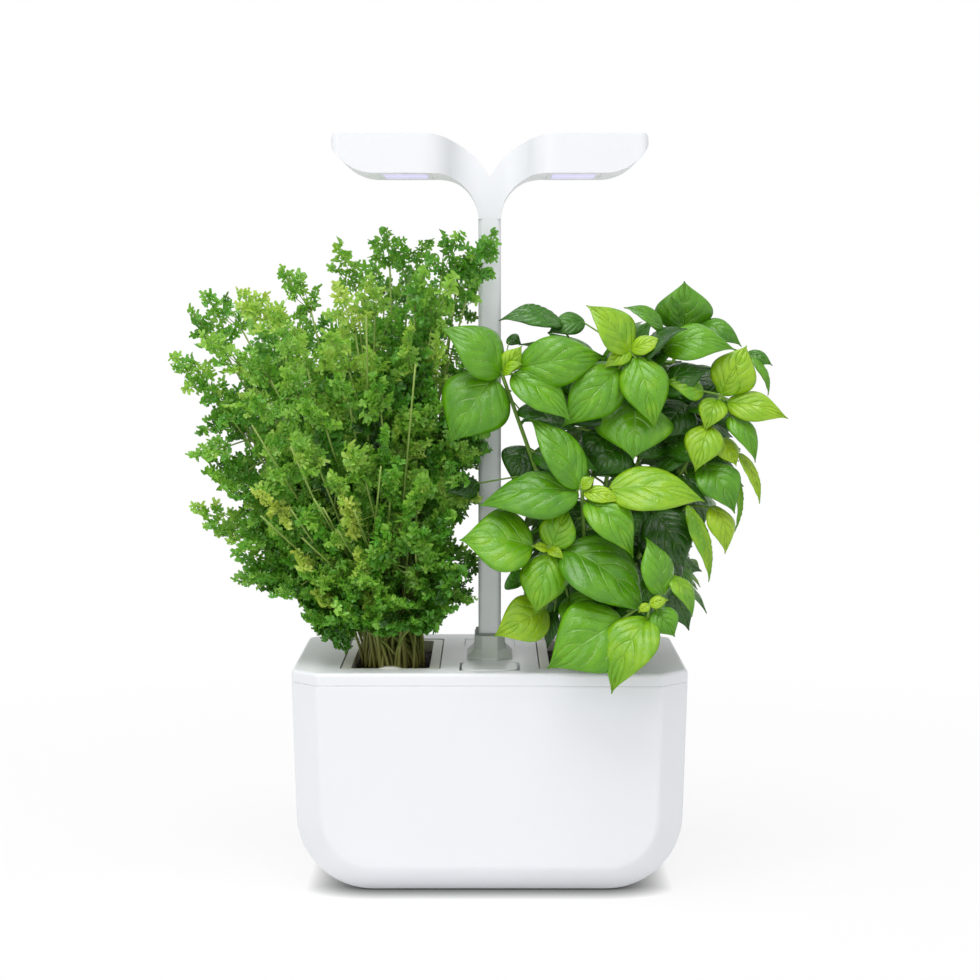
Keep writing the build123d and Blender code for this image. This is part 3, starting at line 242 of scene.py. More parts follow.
# Each finish: colour (sRGB), roughness, IOR (None for a metal, which keeps the default), grain and
# depth of the surface texture (mm), and drift, how far the tone wanders over the piece
finishes = {
    # ABS moulded in a fine spark-eroded tool: white, satin, with a grain just too fine to see
    "mouldedAbs": ("#EFF1F5", 0.36, 1.53, 0.45, 0.006, 0.012),
    # The same from an unpolished tool, for parts out of sight: duller
    "innerAbs": ("#D6D8DA", 0.55, 1.53, 0.6, 0.02, 0.03),
    # Grey-green ABS of the collar, satin, with soft edges
    "collarAbs": ("#D2D8D2", 0.48, 1.53, 0.5, 0.01, 0.03),
    # Moulded silicone lip: grey, almost matt
    "siliconeRubber": ("#8F9590", 0.62, 1.41, 0.4, 0.012, 0.03),
    # Moulded nitrile rubber: charcoal, matt, coarse
    "footRubber": ("#3C3D40", 0.75, 1.5, 0.7, 0.03, 0.05),
    # Moulded polypropylene: cream, waxy
    "podPolypropylene": ("#F1EEE4", 0.42, 1.49, 0.5, 0.008, 0.02),
    # ABS from a polished tool, worn smooth by the finger
    "buttonAbs": ("#E9EBEC", 0.34, 1.53, 0.4, 0.005, 0.01),
    # Printed white solder mask: slight orange peel
    "solderMaskWhite": ("#E6E8EA", 0.4, 1.55, 1.2, 0.02, 0.03),
    # Transfer-moulded epoxy of the packages: black, finely grained
    "epoxyBlack": ("#1B1C1E", 0.5, 1.55, 0.3, 0.01, 0.1),
    # Extruded soft PVC of the leads: satin
    "pvcBlack": ("#191919", 0.45, 1.52, 0.8, 0.01, 0.1),
    "pvcRed": ("#A82A20", 0.42, 1.52, 0.8, 0.01, 0.08),
    # Closed-cell foam with a moulded skin: orange, matt, pitted
    "foamOrange": ("#E0762A", 0.7, 1.5, 1.1, 0.05, 0.08),
    # Bright zinc plate on steel: silvery, slightly clouded
    "zincSteel": ("#B9BCC0", 0.33, None, 0.5, 0.006, 0.08),
    # Rolled brass: warm, bright
    "brassStrip": ("#D2A95A", 0.28, None, 0.4, 0.004, 0.08),
}
# cloud: size of the slow change of tone, mm; spread: of the roughness; edge: how round the edges
# look, mm
finishLook = {"cloud": 45, "spread": 0.05, "edge": 0.3, "collarEdge": 1.2}


def makeFinish(name, colour, roughness, ior, grain, depth, drift):
    # Tone drifts by a slow noise, the texture is a fine noise as bump and as roughness
    tree, place = newMaterial(name)
    slow = addNode(tree, "TexNoise", {"Scale": 1 / (finishLook["cloud"] * mm), "Detail": 3.0},
                   {"Vector": place})
    shade = np.array(linear(colour)[:3])
    low, high = shade * (1 - drift), np.minimum(shade * (1 + drift), 1)
    tone = addNode(tree, "Mix", {"data_type": "RGBA", 6: (*low, 1), 7: (*high, 1)},
                   {0: slow.outputs[0]})
    fine = addNode(tree, "TexNoise", {"Scale": 1 / (grain * mm), "Detail": 2.0}, {"Vector": place})
    edge = finishLook["collarEdge" if name == "collarAbs" else "edge"]
    soft = addNode(tree, "Bevel", {"samples": 4, "Radius": edge * mm})
    rough = addNode(tree, "MapRange", {"To Min": roughness - finishLook["spread"],
                                       "To Max": roughness + finishLook["spread"]},
                    {"Value": fine.outputs[0]})
    settings = {"Metallic": 0.0, "IOR": ior} if ior else {"Metallic": 1.0}
    closeMaterial(tree, makeSurface(tree, settings, {"Base Color": tone.outputs[2],
                                                     "Roughness": rough.outputs[0]},
                                    fine.outputs[0], depth, soft.outputs[0]))


for name, values in finishes.items():
    makeFinish(name, *values)

# Glass-fibre board under green solder mask, with copper tracks showing as paler lines
boardLook = {"mask": "#0F5A34", "track": "#2E8A52", "pitch": 3.0, "width": 0.06, "relief": 0.05}
tree, place = newMaterial("solderMaskGreen")
cells = addNode(tree, "TexBrick", {"Scale": 1 / (boardLook["pitch"] * mm), "Mortar Smooth": 0.0,
                                   "Mortar Size": boardLook["width"],
                                   "Color1": linear(boardLook["mask"]),
                                   "Color2": linear(boardLook["mask"]),
                                   "Mortar": linear(boardLook["track"])}, {"Vector": place})
closeMaterial(tree, makeSurface(tree, {"Roughness": 0.3, "IOR": 1.55},
                                {"Base Color": cells.outputs["Color"]}, cells.outputs["Fac"],
                                boardLook["relief"]))

# Opal acrylic, lit from behind: lavender-white, a little brighter over the rows of LEDs. A wave
# texture repeats every 0.314 / scale; pitch is that distance in mm
opalLook = {"skin": "#DAD6E8", "light": "#C2B6FF", "dim": 0.30, "bright": 0.50, "pitch": 24.0}
tree, place = newMaterial("opalAcrylic")
rows = addNode(tree, "TexWave", {"wave_type": "BANDS", "bands_direction": "Y",
                                 "Scale": 0.314 / (opalLook["pitch"] * mm)}, {"Vector": place})
power = addNode(tree, "MapRange", {"To Min": opalLook["dim"], "To Max": opalLook["bright"]},
                {"Value": rows.outputs["Fac"]})
closeMaterial(tree, makeSurface(tree, {"Base Color": linear(opalLook["skin"]), "Roughness": 0.35,
                                       "IOR": 1.49, "Emission Color": linear(opalLook["light"])},
                                {"Emission Strength": power.outputs[0]}))

# LED packages: white ceramic with a glowing violet-white face
ledLook = {"face": "#F2ECFF", "light": "#D9C6FF", "power": 3.0}
tree = newMaterial("ledPackage")[0]
closeMaterial(tree, makeSurface(tree, {"Base Color": linear(ledLook["face"]), "Roughness": 0.3,
                                       "Emission Color": linear(ledLook["light"]),
                                       "Emission Strength": ledLook["power"]}, {}))

nodeFinish = {
    "mouldedAbs": ("tank", "lid", "lamp_shell", "pole", "under_cover_left", "under_cover_right",
                   "filler_flap"),
    "buttonAbs": ("power_button",),
    "innerAbs": ("bay_cover", "float_guide"),
    "collarAbs": ("pole_collar",),
    "siliconeRubber": ("collar_seal",),
    "footRubber": ("foot_ring",),
    "podPolypropylene": ("pod_tray_left", "pod_tray_right"),
    "solderMaskWhite": ("led_board_left", "led_board_right"),
    "solderMaskGreen": ("circuit_board",),
    "epoxyBlack": ("board_parts", "tact_switch", "switch_plunger", "dc_jack"),
    "pvcBlack": ("power_lead",),
    "pvcRed": ("finger_leads", "lamp_wires"),
    "foamOrange": ("water_float",),
    "zincSteel": ("bay_screws", "lamp_screws", "flap_pin"),
    "brassStrip": ("contact_fingers", "pole_contacts"),
    "opalAcrylic": ("diffuser_left", "diffuser_right"),
    "ledPackage": ("leds_left", "leds_right"),
}
for finish, nodes in nodeFinish.items():
    for node in nodes:
        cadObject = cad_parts[node]
        if not cadObject.material_slots:
            cadObject.data.materials.append(None)
        for materialSlot in cadObject.material_slots:
            materialSlot.material = made[finish]


# Potting mix and wicks
print("stage: potting mix and wicks")

# domes: crumbs in the top, the smallest as a share of the largest, crumb (mm); margin and sink: how
# far the top stays from the pot's wall and under its level, mm; taper: the pot's, across and along
mixLook = {"rows": 110, "columns": 50, "sides": 6, "domes": 900, "smallest": 0.35, "crumb": 2.6,
           "heap": 0.9, "margin": 0.4, "sink": 1.6, "corner": 8, "taper": (0.085, 0.035)}


def makeCrumbs(look, span):
    # Height of a crumbly surface: for each point the tallest of many small domes near it,
    # h = r * sqrt(1 - d^2 / r^2)
    x, y = np.meshgrid(np.linspace(-1, 1, look["columns"]) * span[0],
                       np.linspace(-1, 1, look["rows"]) * span[1])
    centres = random.uniform(-1, 1, (look["domes"], 2)) * np.array(span)
    r = random.uniform(look["smallest"], 1.0, look["domes"]) * (look["crumb"] * mm)
    d2 = (x[..., None] - centres[:, 0]) ** 2 + (y[..., None] - centres[:, 1]) ** 2
    return x, y, np.sqrt(np.maximum(r ** 2 - d2, 0)).max(-1)


def gridRim(rows, columns):
    # Numbers of a grid's outer points, once round
    number = np.arange(rows * columns).reshape(rows, columns)
    return np.concatenate([number[0, :-1], number[:-1, -1], number[-1, :0:-1], number[:0:-1, 0]])


def makePottingMix(hand):
    # A block: the crumbly top grid, then rings down the sides, drawn in at the bottom
    node, body, look = "substrate_" + hand, "pod_" + hand, mixLook
    low, high = (np.array(c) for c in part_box(node))
    middle, half = (low + high) / 2, (high - low) / 2
    x, y, domes = makeCrumbs(look, half[:2] - look["margin"] * mm)
    fade = np.clip((1 - np.abs(x / half[0]) ** look["corner"])
                   * (1 - np.abs(y / half[1]) ** look["corner"]), 0, 1)
    top = np.stack([middle[0] + x, middle[1] + y,
                    high[2] - look["sink"] * mm + domes * look["heap"] * fade], -1)
    rim = gridRim(look["rows"], look["columns"])
    edge = top.reshape(-1, 3)[rim]
    drop = np.linspace(0, 1, look["sides"])[1:, None]
    walls = np.repeat(edge[None], look["sides"] - 1, 0)
    walls[..., 2] = edge[:, 2] + (low[2] - edge[:, 2]) * drop
    for axis in (0, 1):
        walls[..., axis] = middle[axis] + (edge[:, axis] - middle[axis]) * (1 - look["taper"][axis] * drop)
    base = np.broadcast_to(np.array([middle[0], middle[1], low[2]]), (1, len(rim), 3))
    walls = np.concatenate([walls, base], 0)
    points = np.concatenate([top.reshape(-1, 3), walls.reshape(-1, 3)])
    first = top[..., 0].size + np.arange(walls.shape[0])[:, None] * len(rim) + np.arange(len(rim))
    rings = np.concatenate([rim[None], first])
    after = np.roll(rings, -1, 1)
    sideQuads = np.stack([rings[:-1], rings[1:], after[1:], after[:-1]], -1).reshape(-1, 4)
    topQuads = gridQuads(1, look["rows"], look["columns"])[:, ::-1]
    makeMesh("pottingMix" + hand, points, np.concatenate([topQuads, sideQuads]), body,
             [made["pottingMix"]], [node])


# Damp peat and coir: nearly black crumbs with brown fibre and a few pale flecks
soilLook = {"peat": "#1D140D", "coir": "#4A3420", "fleck": "#A08A66", "crumb": 1.8, "flecks": 4.5,
            "depth": 0.8}
tree, place = newMaterial("pottingMix")
crumb = addNode(tree, "TexNoise", {"Scale": 1 / (soilLook["crumb"] * mm), "Detail": 6.0,
                                   "Roughness": 0.65}, {"Vector": place})
ground = addNode(tree, "ValToRGB", links={"Fac": crumb.outputs[0]})
ground.color_ramp.elements[0].position, ground.color_ramp.elements[1].position = 0.42, 0.72
ground.color_ramp.elements[0].color = linear(soilLook["peat"])
ground.color_ramp.elements[1].color = linear(soilLook["coir"])
spots = addNode(tree, "TexVoronoi", {"Scale": 1 / (soilLook["flecks"] * mm)}, {"Vector": place})
isFleck = addNode(tree, "MapRange", {"From Min": 0.10, "From Max": 0.06},
                  {"Value": spots.outputs["Distance"]})
mixed = addNode(tree, "Mix", {"data_type": "RGBA", 7: linear(soilLook["fleck"])},
                {0: isFleck.outputs[0], 6: ground.outputs[0]})
closeMaterial(tree, makeSurface(tree, {"Roughness": 0.85}, {"Base Color": mixed.outputs[2]},
                                crumb.outputs[0], soilLook["depth"]))

# Needled felt of the wick: off-white, with a short nap
feltLook = {"wool": "#DAD7CB", "shade": "#BDB9AB", "fibre": 0.5, "nap": 0.25}
tree, place = newMaterial("needledFelt")
nap = addNode(tree, "TexNoise", {"Scale": 1 / (feltLook["fibre"] * mm), "Detail": 5.0,
                                 "Distortion": 1.5}, {"Vector": place})
tint = addNode(tree, "Mix", {"data_type": "RGBA", 6: linear(feltLook["shade"]),
                             7: linear(feltLook["wool"])}, {0: nap.outputs[0]})
closeMaterial(tree, makeSurface(tree, {"Roughness": 0.95, "Sheen Weight": 0.3},
                                {"Base Color": tint.outputs[2]}, nap.outputs[0], feltLook["nap"]))

# fill: share of the CAD box across and through; taper: length of the drawn-in ends as a share;
# pinch: how much narrower they are; wave: mm
wickLook = {"rings": 40, "around": 28, "corner": 4.0, "fill": (0.985, 0.8), "taper": 0.015,
            "thinnest": 0.4, "pinch": 0.1, "wave": 0.25, "waves": 9}


def makeWick(hand):
    # A strip whose section is a squared-off oval, |x/a|^p + |y/b|^p = 1, carried down the
    # strip with a slight wave, and drawn in at both ends
    node, look = "wick_" + hand, wickLook
    low, high = (np.array(c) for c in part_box(node))
    middle, half = (low + high) / 2, (high - low) / 2
    around = np.linspace(0, 2 * math.pi, look["around"], endpoint=False)
    power = 2 / look["corner"]
    sx = np.sign(np.cos(around)) * np.abs(np.cos(around)) ** power
    sy = np.sign(np.sin(around)) * np.abs(np.sin(around)) ** power
    share = np.linspace(0, 1, look["rings"])
    ends = np.clip(np.minimum(share, 1 - share) / look["taper"], 0, 1) ** 0.5
    ends = np.concatenate([[0], np.maximum(ends, look["thinnest"]), [0]])[:, None]
    share = np.concatenate([[0], share, [1]])[:, None]
    wide = (1 - look["pinch"] + look["pinch"] * ends) * (ends > 0)
    bow = np.sin(share * look["waves"]) * look["wave"] * mm
    points = np.stack([middle[0] + half[0] * look["fill"][0] * sx * wide,
                       middle[1] + half[1] * look["fill"][1] * sy * ends + bow,
                       np.broadcast_to(low[2] + (high[2] - low[2]) * share,
                                       (len(share), len(around)))], -1)
    quads = gridQuads(1, len(share), len(around), closed=True)[:, ::-1]
    makeMesh("feltWick" + hand.title(), points.reshape(-1, 3), quads, "pod_" + hand,
             [made["needledFelt"]], [node])


for hand in ("left", "right"):
    makePottingMix(hand)
    makeWick(hand)


# Basil
print("stage: basil")

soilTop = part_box("substrate_right")[1][2] / mm
basilPot, parsleyPot = np.array([56.0, -3.0, 0.0]), np.array([-56.0, -3.0, 0.0])  # their middles
level = np.array([1.0, 1.0, 0.0])  # keeps the part of a direction that lies flat

# Young shoots of the right pod: where each ends (mm)
basilShoots = np.array([
    (7, -64, 290), (79, -54, 301), (51, -76, 228), (32, -80, 195), (87, -95, 165), (131, -42, 277),
    (112, -34, 214), (112, -12, 313), (51, 6, 301), (70, 51, 268), (120, 40, 249), (62, 54, 195),
    (112, 32, 174)], float)

# Leaves one by one: blade base and tip (mm), full breadth (mm), roll (degrees), tone from 0, dark,
# to 1, young and yellow
# The lowest tones, 0.1 to 0.2, sit on leaves inside and under the bush: painted shade
basilLeaves = np.array([
    (7, -64, 291, -25, -70, 318, 29, -10, 0.55), (2, -64, 289, -22, -74, 254, 36, 10, 0.5),
    (13, -64, 291, 46, -72, 267, 25, 15, 0.6), (16, -62, 294, 65, -58, 301, 26, -25, 0.6),
    (7, -64, 292, 18, -66, 306, 11, -30, 0.8), (7, -64, 292, 17, -72, 297, 9, 10, 0.85),
    (41, -34, 319, 6, -44, 323, 19, -20, 0.25), (73, -54, 294, 41, -66, 262, 27, 20, 0.6),
    (79, -54, 303, 56, -58, 330, 25, -15, 0.8), (82, -54, 300, 92, -70, 262, 25, 0, 0.65),
    (82, -44, 275, 80, -66, 245, 40, 0, 0.6), (79, -54, 304, 97, -58, 310, 11, 0, 0.9),
    (79, -54, 303, 64, -62, 295, 10, 0, 0.8), (98, -40, 315, 77, -44, 329, 13, -20, 0.5),
    (50, -76, 228, 24, -70, 268, 25, -20, 0.55), (49, -76, 226, -6, -82, 222, 32, -15, 0.5),
    (66, -74, 227, 119, -78, 224, 29, 10, 0.8), (52, -76, 226, 72, -82, 222, 10, 0, 0.95),
    (54, -76, 221, 80, -86, 192, 23, 10, 0.65), (50, -76, 228, 58, -76, 234, 7, 0, 0.9),
    (24, -80, 196, -16, -84, 202, 37, -5, 0.65), (34, -80, 195, 43, -78, 217, 19, 0, 0.7),
    (33, -80, 192, 25, -92, 161, 24, 0, 0.7), (41, -78, 195, 87, -88, 162, 40, 15, 0.5),
    (32, -80, 195, 24, -86, 197, 6, 0, 0.95), (32, -80, 195, 41, -86, 190, 6, 0, 0.95),
    (95, -88, 170, 88, -84, 202, 23, -35, 0.6), (32, -70, 160, 3, -82, 147, 24, 20, 0.85),
    (73, -88, 157, 32, -104, 133, 38, 15, 0.6), (87, -92, 158, 65, -106, 120, 27, -10, 0.75),
    (36, -66, 158, 32, -70, 138, 8, 0, 0.1), (91, -92, 163, 101, -98, 149, 16, 0, 0.55),
    (100, -80, 180, 113, -86, 159, 17, 40, 0.7), (87, -95, 166, 97, -97, 169, 7, 0, 0.95),
    (87, -95, 166, 81, -97, 162, 5, 0, 0.95), (111, -60, 217, 126, -66, 176, 17, 50, 0.75),
    (126, -50, 216, 134, -56, 190, 18, 30, 0.95), (93, -50, 212, 110, -56, 182, 28, 0, 0.1),
    (121, -46, 239, 138, -60, 214, 24, 10, 0.5), (137, -40, 239, 142, -44, 200, 8, 60, 0.65),
    (142, -40, 245, 155, -46, 218, 11, 40, 0.9), (136, -42, 267, 151, -52, 242, 16, 25, 0.6),
    (134, -42, 274, 168, -50, 267, 18, 0, 0.85), (124, -46, 261, 115, -60, 237, 20, 0, 0.85),
    (131, -42, 254, 140, -48, 239, 15, 20, 0.95), (129, -42, 276, 121, -52, 259, 15, 0, 0.8),
    (133, -42, 279, 145, -44, 306, 24, -10, 0.85), (151, -20, 299, 162, -22, 278, 10, 50, 0.6),
    (121, -44, 280, 99, -50, 287, 17, -10, 0.7), (98, -40, 305, 138, -48, 306, 23, 5, 0.6),
    (112, -12, 314, 112, -20, 342, 30, 0, 0.5), (120, -14, 318, 145, -22, 307, 16, 10, 0.45),
    (111, -12, 316, 105, -24, 333, 13, 0, 0.45), (131, -42, 278, 138, -48, 295, 14, 0, 0.8),
    (148, -14, 301, 163, -18, 295, 9, 0, 0.4), (112, -30, 273, 96, -40, 254, 26, 0, 0.1),
    (75, -40, 251, 59, -50, 233, 26, 0, 0.15), (67, -40, 256, 53, -46, 245, 22, 0, 0.15),
    (22, -30, 248, 13, -40, 229, 22, 0, 0.1), (107, -24, 253, 99, -30, 240, 22, 0, 0.1),
    (53, -50, 208, 47, -54, 195, 20, 0, 0.2), (75, -50, 208, 84, -54, 200, 22, 0, 0.15),
    (-6, -40, 228, -24, -48, 224, 14, 0, 0.1), (17, -50, 170, 13, -56, 181, 16, 0, 0.35),
    (43, -70, 167, 58, -80, 153, 22, 0, 0.55), (54, -30, 320, 33, -34, 314, 14, 0, 0.3),
    (10, -30, 310, 18, -34, 307, 8, 0, 0.2)], float)

# Lengths in mm; cup, curl, droop, ruffle and groove as shares of a blade's half breadth or length;
# fuller: how much broader the blades are than in the table; inner: leaves inside and at the back
basilLook = {"thickness": 0.35, "arch": 0.13, "cup": 0.34, "curl": 0.50, "droop": 0.10,
             "ruffle": 0.05, "groove": 0.5, "grooveWidth": 0.12, "thinnest": 0.35, "full": 40,
             "veins": 4.5, "slant": 0.52, "pucker": 1.6, "stalk": 1.7, "stem": 3.2,
             "frontGrid": (40, 15), "backGrid": (20, 9), "rise": 24.0, "fuller": 1.12, "inner": 180}


def makeBlades(base, tip, breadth, roll, facing, grid, look):
    # A blade on a grid: u runs from 0 at the base to 1 at the tip, v from -1 to 1 across.
    # Half breadth w(u) = breadth / 2 * sin(pi u^0.74)^(0.66 + 0.6 u). The midrib bows by
    # 4 arch u (1 - u) and droops by u^3, the halves rise by cup and turn down by curl v^2, and
    # pucker up between the slanting veins, by sin(pi veins (u - slant |v|^1.2))^2.
    u = np.linspace(0, 1, grid[0])[None, :, None]
    v = np.linspace(-1, 1, grid[1])[None, None, :]
    length = np.linalg.norm(tip - base, axis=-1)[:, None, None]
    along = unit(tip - base)
    out = unit(facing - along * (facing * along).sum(-1, keepdims=True))
    across = np.cross(out, along)
    c, s = np.cos(roll)[:, None], np.sin(roll)[:, None]
    out, across = out * c + across * s, across * c - out * s
    arc = np.sin(math.pi * np.clip(u, 0.004, 0.996) ** 0.74)
    wide = np.maximum(breadth[:, None, None] / 2 * arc ** (0.66 + 0.6 * u), look["thinnest"])
    each = (len(base), 1, 1)
    wave = random.uniform(0, 6.28, each)
    bow = look["arch"] * random.uniform(0.5, 1.5, each) * length * 4 * u * (1 - u) \
        - look["droop"] * length * u ** 3
    lift = wide * (look["cup"] * np.abs(v) - look["curl"] * random.uniform(0.6, 1.4, each) * v ** 2)
    ruffle = look["ruffle"] * wide * np.abs(v) ** 3 * np.sin(9 * u + wave + 1.5 * np.sign(v))
    ridge = np.sin(math.pi * look["veins"] * (u - look["slant"] * np.abs(v) ** 1.2 + 0.08)) ** 2
    size = np.clip(length / look["full"], 0.3, 1.2)
    pucker = look["pucker"] * size * (ridge - 0.5) * (np.abs(v) * (1 - np.abs(v)) * 4) ** 0.7 \
        * np.sin(math.pi * np.clip(u, 0, 1)) ** 0.5
    groove = -look["groove"] * size * np.exp(-(v / look["grooveWidth"]) ** 2) * (1 - u)
    rise = bow + lift + ruffle + pucker + groove
    return base[:, None, None] + along[:, None, None] * (length * u)[..., None] \
        + across[:, None, None] * (wide * v)[..., None] + out[:, None, None] * rise[..., None]


def makeShells(points, thickness):
    # Gives each sheet a back, a thickness below it along the surface's normal, and a rim
    n, rows, columns = points.shape[:3]
    normal = unit(np.cross(np.gradient(points, axis=1), np.gradient(points, axis=2)))
    both = np.stack([points, points - normal * thickness], 1)
    size = rows * columns
    front = gridQuads(1, rows, columns)
    back = front[:, ::-1] + size
    rim = gridRim(rows, columns)
    after = np.roll(rim, -1)
    edge = np.stack([rim, after, after + size, rim + size], -1)
    one = np.concatenate([front, edge, back])
    quads = (one[None] + (np.arange(n) * 2 * size)[:, None, None]).reshape(-1, 4)
    slots = np.tile(np.repeat([0, 1], [len(front) + len(edge), len(back)]), n)
    return both.reshape(-1, 3), quads, slots


def growthOf(along, across, tone):
    # What the plant materials read at each point: place along the blade, across it, and its tone
    return np.stack(np.broadcast_arrays(along, across, tone), -1).reshape(-1, 3)


def leafMaterial(name, look):
    # Living leaf under a thin wax: tone from the growth attribute's third value, pale midrib and
    # slanting side veins from its first two, slow mottling, and a fine net of cells as bump
    tree, place = newMaterial(name)
    growth = addNode(tree, "Attribute", {"attribute_name": "growth"})
    parts = addNode(tree, "SeparateXYZ", links={0: growth.outputs["Vector"]})
    mottle = addNode(tree, "TexNoise", {"Scale": 1 / (look["mottle"] * mm), "Detail": 3.0},
                     {"Vector": place})
    wander = addNode(tree, "MapRange", {"To Min": -look["wander"], "To Max": look["wander"]},
                     {"Value": mottle.outputs[0]})
    # The vein pattern, step by step: result, operation, constants, and what goes into each socket.
    # fade takes the side veins out towards the edge: 1 at 0.35 and 0 at 0.95 of the half breadth
    at = {"along": parts.outputs[0], "across": parts.outputs[1], "own": parts.outputs[2],
          "wander": wander.outputs[0]}
    count = basilLook["veins"]
    for result, operation, constants, sources in (
            ("tone", "ADD", {"use_clamp": True}, {0: "own", 1: "wander"}),
            ("side", "ABSOLUTE", {}, {0: "across"}),
            ("arc", "POWER", {1: 1.2}, {0: "side"}),
            ("slant", "MULTIPLY_ADD", {1: -basilLook["slant"]}, {0: "arc", 2: "along"}),
            ("phase", "MULTIPLY_ADD", {1: count, 2: count * 0.08 + 0.5}, {0: "slant"}),
            ("turn", "FRACT", {}, {0: "phase"}),
            ("offset", "SUBTRACT", {1: 0.5}, {0: "turn"}),
            ("off", "ABSOLUTE", {}, {0: "offset"}),
            ("fine", "MULTIPLY_ADD", {1: -1 / look["veinWidth"], 2: 1.0, "use_clamp": True}, {0: "off"}),
            ("fade", "MULTIPLY_ADD", {1: -1 / 0.6, 2: 0.95 / 0.6, "use_clamp": True}, {0: "side"}),
            ("sideVein", "MULTIPLY", {}, {0: "fine", 1: "fade"}),
            ("midrib", "MULTIPLY_ADD", {1: -1 / look["ribWidth"], 2: 1.0, "use_clamp": True},
             {0: "side"}),
            ("veins", "MAXIMUM", {}, {0: "sideVein", 1: "midrib"}),
            ("amount", "MULTIPLY", {1: look["veinShare"]}, {0: "veins"})):
        sums = addNode(tree, "Math", {"operation": operation, **constants},
                       {socket: at[source] for socket, source in sources.items()})
        at[result] = sums.outputs[0]
    ramp = addNode(tree, "ValToRGB", links={"Fac": at["tone"]})
    stops = ramp.color_ramp.elements
    while len(stops) < len(look["tones"]):
        stops.new(0.5)
    for k, (position, tint) in enumerate(look["tones"]):
        stops[k].position, stops[k].color = position, linear(tint)
    colour = addNode(tree, "Mix", {"data_type": "RGBA", 7: linear(look["vein"])},
                     {0: at["amount"], 6: ramp.outputs[0]})
    cells = addNode(tree, "TexVoronoi", {"Scale": 1 / (look["cell"] * mm)}, {"Vector": place})
    height = addNode(tree, "Math", {"operation": "MULTIPLY_ADD", 1: -look["veinDepth"]},
                     {0: at["veins"], 2: cells.outputs["Distance"]})
    shader = makeSurface(tree, {"Roughness": look["rough"], "IOR": 1.45,
                                "Specular IOR Level": look["gloss"]},
                         {"Base Color": colour.outputs[2]}, height.outputs[0], look["cellDepth"])
    if "glow" in look:
        # Light from behind comes through the thin blade, yellower than it is reflected
        warm = addNode(tree, "Mix", {"data_type": "RGBA", 0: 0.25, 7: linear("#CDE65A")},
                       {6: colour.outputs[2]})
        through = addNode(tree, "BsdfTranslucent", links={"Color": warm.outputs[2]})
        shader = addNode(tree, "MixShader", {0: look["glow"]},
                         {1: shader.outputs[0], 2: through.outputs[0]})
    closeMaterial(tree, shader)
    return made[name]


basilUpper = leafMaterial("basilBlade", {
    "tones": ((0.0, "#1B450A"), (0.35, "#3C7C08"), (0.65, "#65A50C"), (1.0, "#A6CC1C")),
    "vein": "#A8CE5C", "veinShare": 0.16, "veinWidth": 0.11, "ribWidth": 0.04, "veinDepth": 2.6,
    "mottle": 9.0, "wander": 0.22, "cell": 0.9, "cellDepth": 0.13, "rough": 0.27, "gloss": 0.55})
basilUnder = leafMaterial("basilUnderside", {
    "tones": ((0.0, "#3C5C2A"), (0.5, "#7FA35A"), (1.0, "#B4CE84")),
    "vein": "#CFE3A8", "veinShare": 0.6, "veinWidth": 0.10, "ribWidth": 0.07, "veinDepth": -1.4,
    "mottle": 14.0, "wander": 0.1, "cell": 0.9, "cellDepth": 0.14, "rough": 0.55, "gloss": 0.35})


def stemMaterial(name, low, high, rough):
    # Juicy stem: paler and yellower towards the foot, lengthwise streaks
    tree, place = newMaterial(name)
    growth = addNode(tree, "Attribute", {"attribute_name": "growth"})
    parts = addNode(tree, "SeparateXYZ", links={0: growth.outputs["Vector"]})
    stretch = addNode(tree, "Mapping", {"Scale": (1.0, 1.0, 0.12)}, {"Vector": place})
    streak = addNode(tree, "TexNoise", {"Scale": 1 / (0.9 * mm), "Detail": 2.0},
                     {"Vector": stretch.outputs[0]})
    along = addNode(tree, "MapRange", {"From Max": 0.55}, {"Value": parts.outputs[0]})
    tone = addNode(tree, "Mix", {"data_type": "RGBA", 6: linear(low), 7: linear(high)},
                   {0: along.outputs[0]})
    dark = addNode(tree, "Mix", {"data_type": "RGBA", "blend_type": "MULTIPLY",
                                 7: linear("#B8B890")},
                   {0: streak.outputs[0], 6: tone.outputs[2]})
    closeMaterial(tree, makeSurface(tree, {"Roughness": rough, "IOR": 1.42},
                                    {"Base Color": dark.outputs[2]}, streak.outputs[0], 0.12))
    return made[name]


basilStem = stemMaterial("basilStem", "#8E9A4A", "#8DBB4C", 0.4)


def bowedPaths(start, end, rise, count):
    # Each path leaves its start upright, then runs nearly straight to its end: a cubic curve
    # whose second point is rise above the start, and whose third lies 0.4 of the way from there
    t = np.linspace(0, 1, count)[None, :, None]
    knee = start + np.array([0, 0, 1.0]) * rise[:, None]
    third = knee + (end - knee) * 0.4
    return (1 - t) ** 3 * start[:, None] + 3 * t * (1 - t) ** 2 * knee[:, None] \
        + 3 * t ** 2 * (1 - t) * third[:, None] + t ** 3 * end[:, None]


def footRing(count, pot, reach, turn):
    # Feet on the soil round the pot's middle, spread by the golden angle
    k = np.arange(count)
    r = np.sqrt((k % 12 + 1) / 13)
    a = np.radians(k * 137.5 + turn)
    return np.stack([pot[0] + reach[0] * r * np.cos(a), pot[1] + reach[1] * r * np.sin(a),
                     np.full(count, soilTop - 2.0)], -1)


def makeStems(name, pot, material, node, groups):
    # One piece from groups of tubes: paths, radii, sides, and how far up the plant their feet and
    # tips count for the material, from 0 to 1
    points, quads, heights, total = [], [], [], 0
    for paths, radii, sides, (foot, tip) in groups:
        tube, faces, along = makeTubes(paths, np.broadcast_to(radii, paths.shape[:2]), sides)
        points.append(tube * mm)
        quads.append(faces + total)
        heights.append(foot + (tip - foot) * along)
        total += len(tube)
    return makeMesh(name, np.concatenate(points), np.concatenate(quads), pot, [material],
                    [node], None, growthOf(np.concatenate(heights), 0, 0))


basilFeet = footRing(len(basilShoots), basilPot, (13, 34), 0)
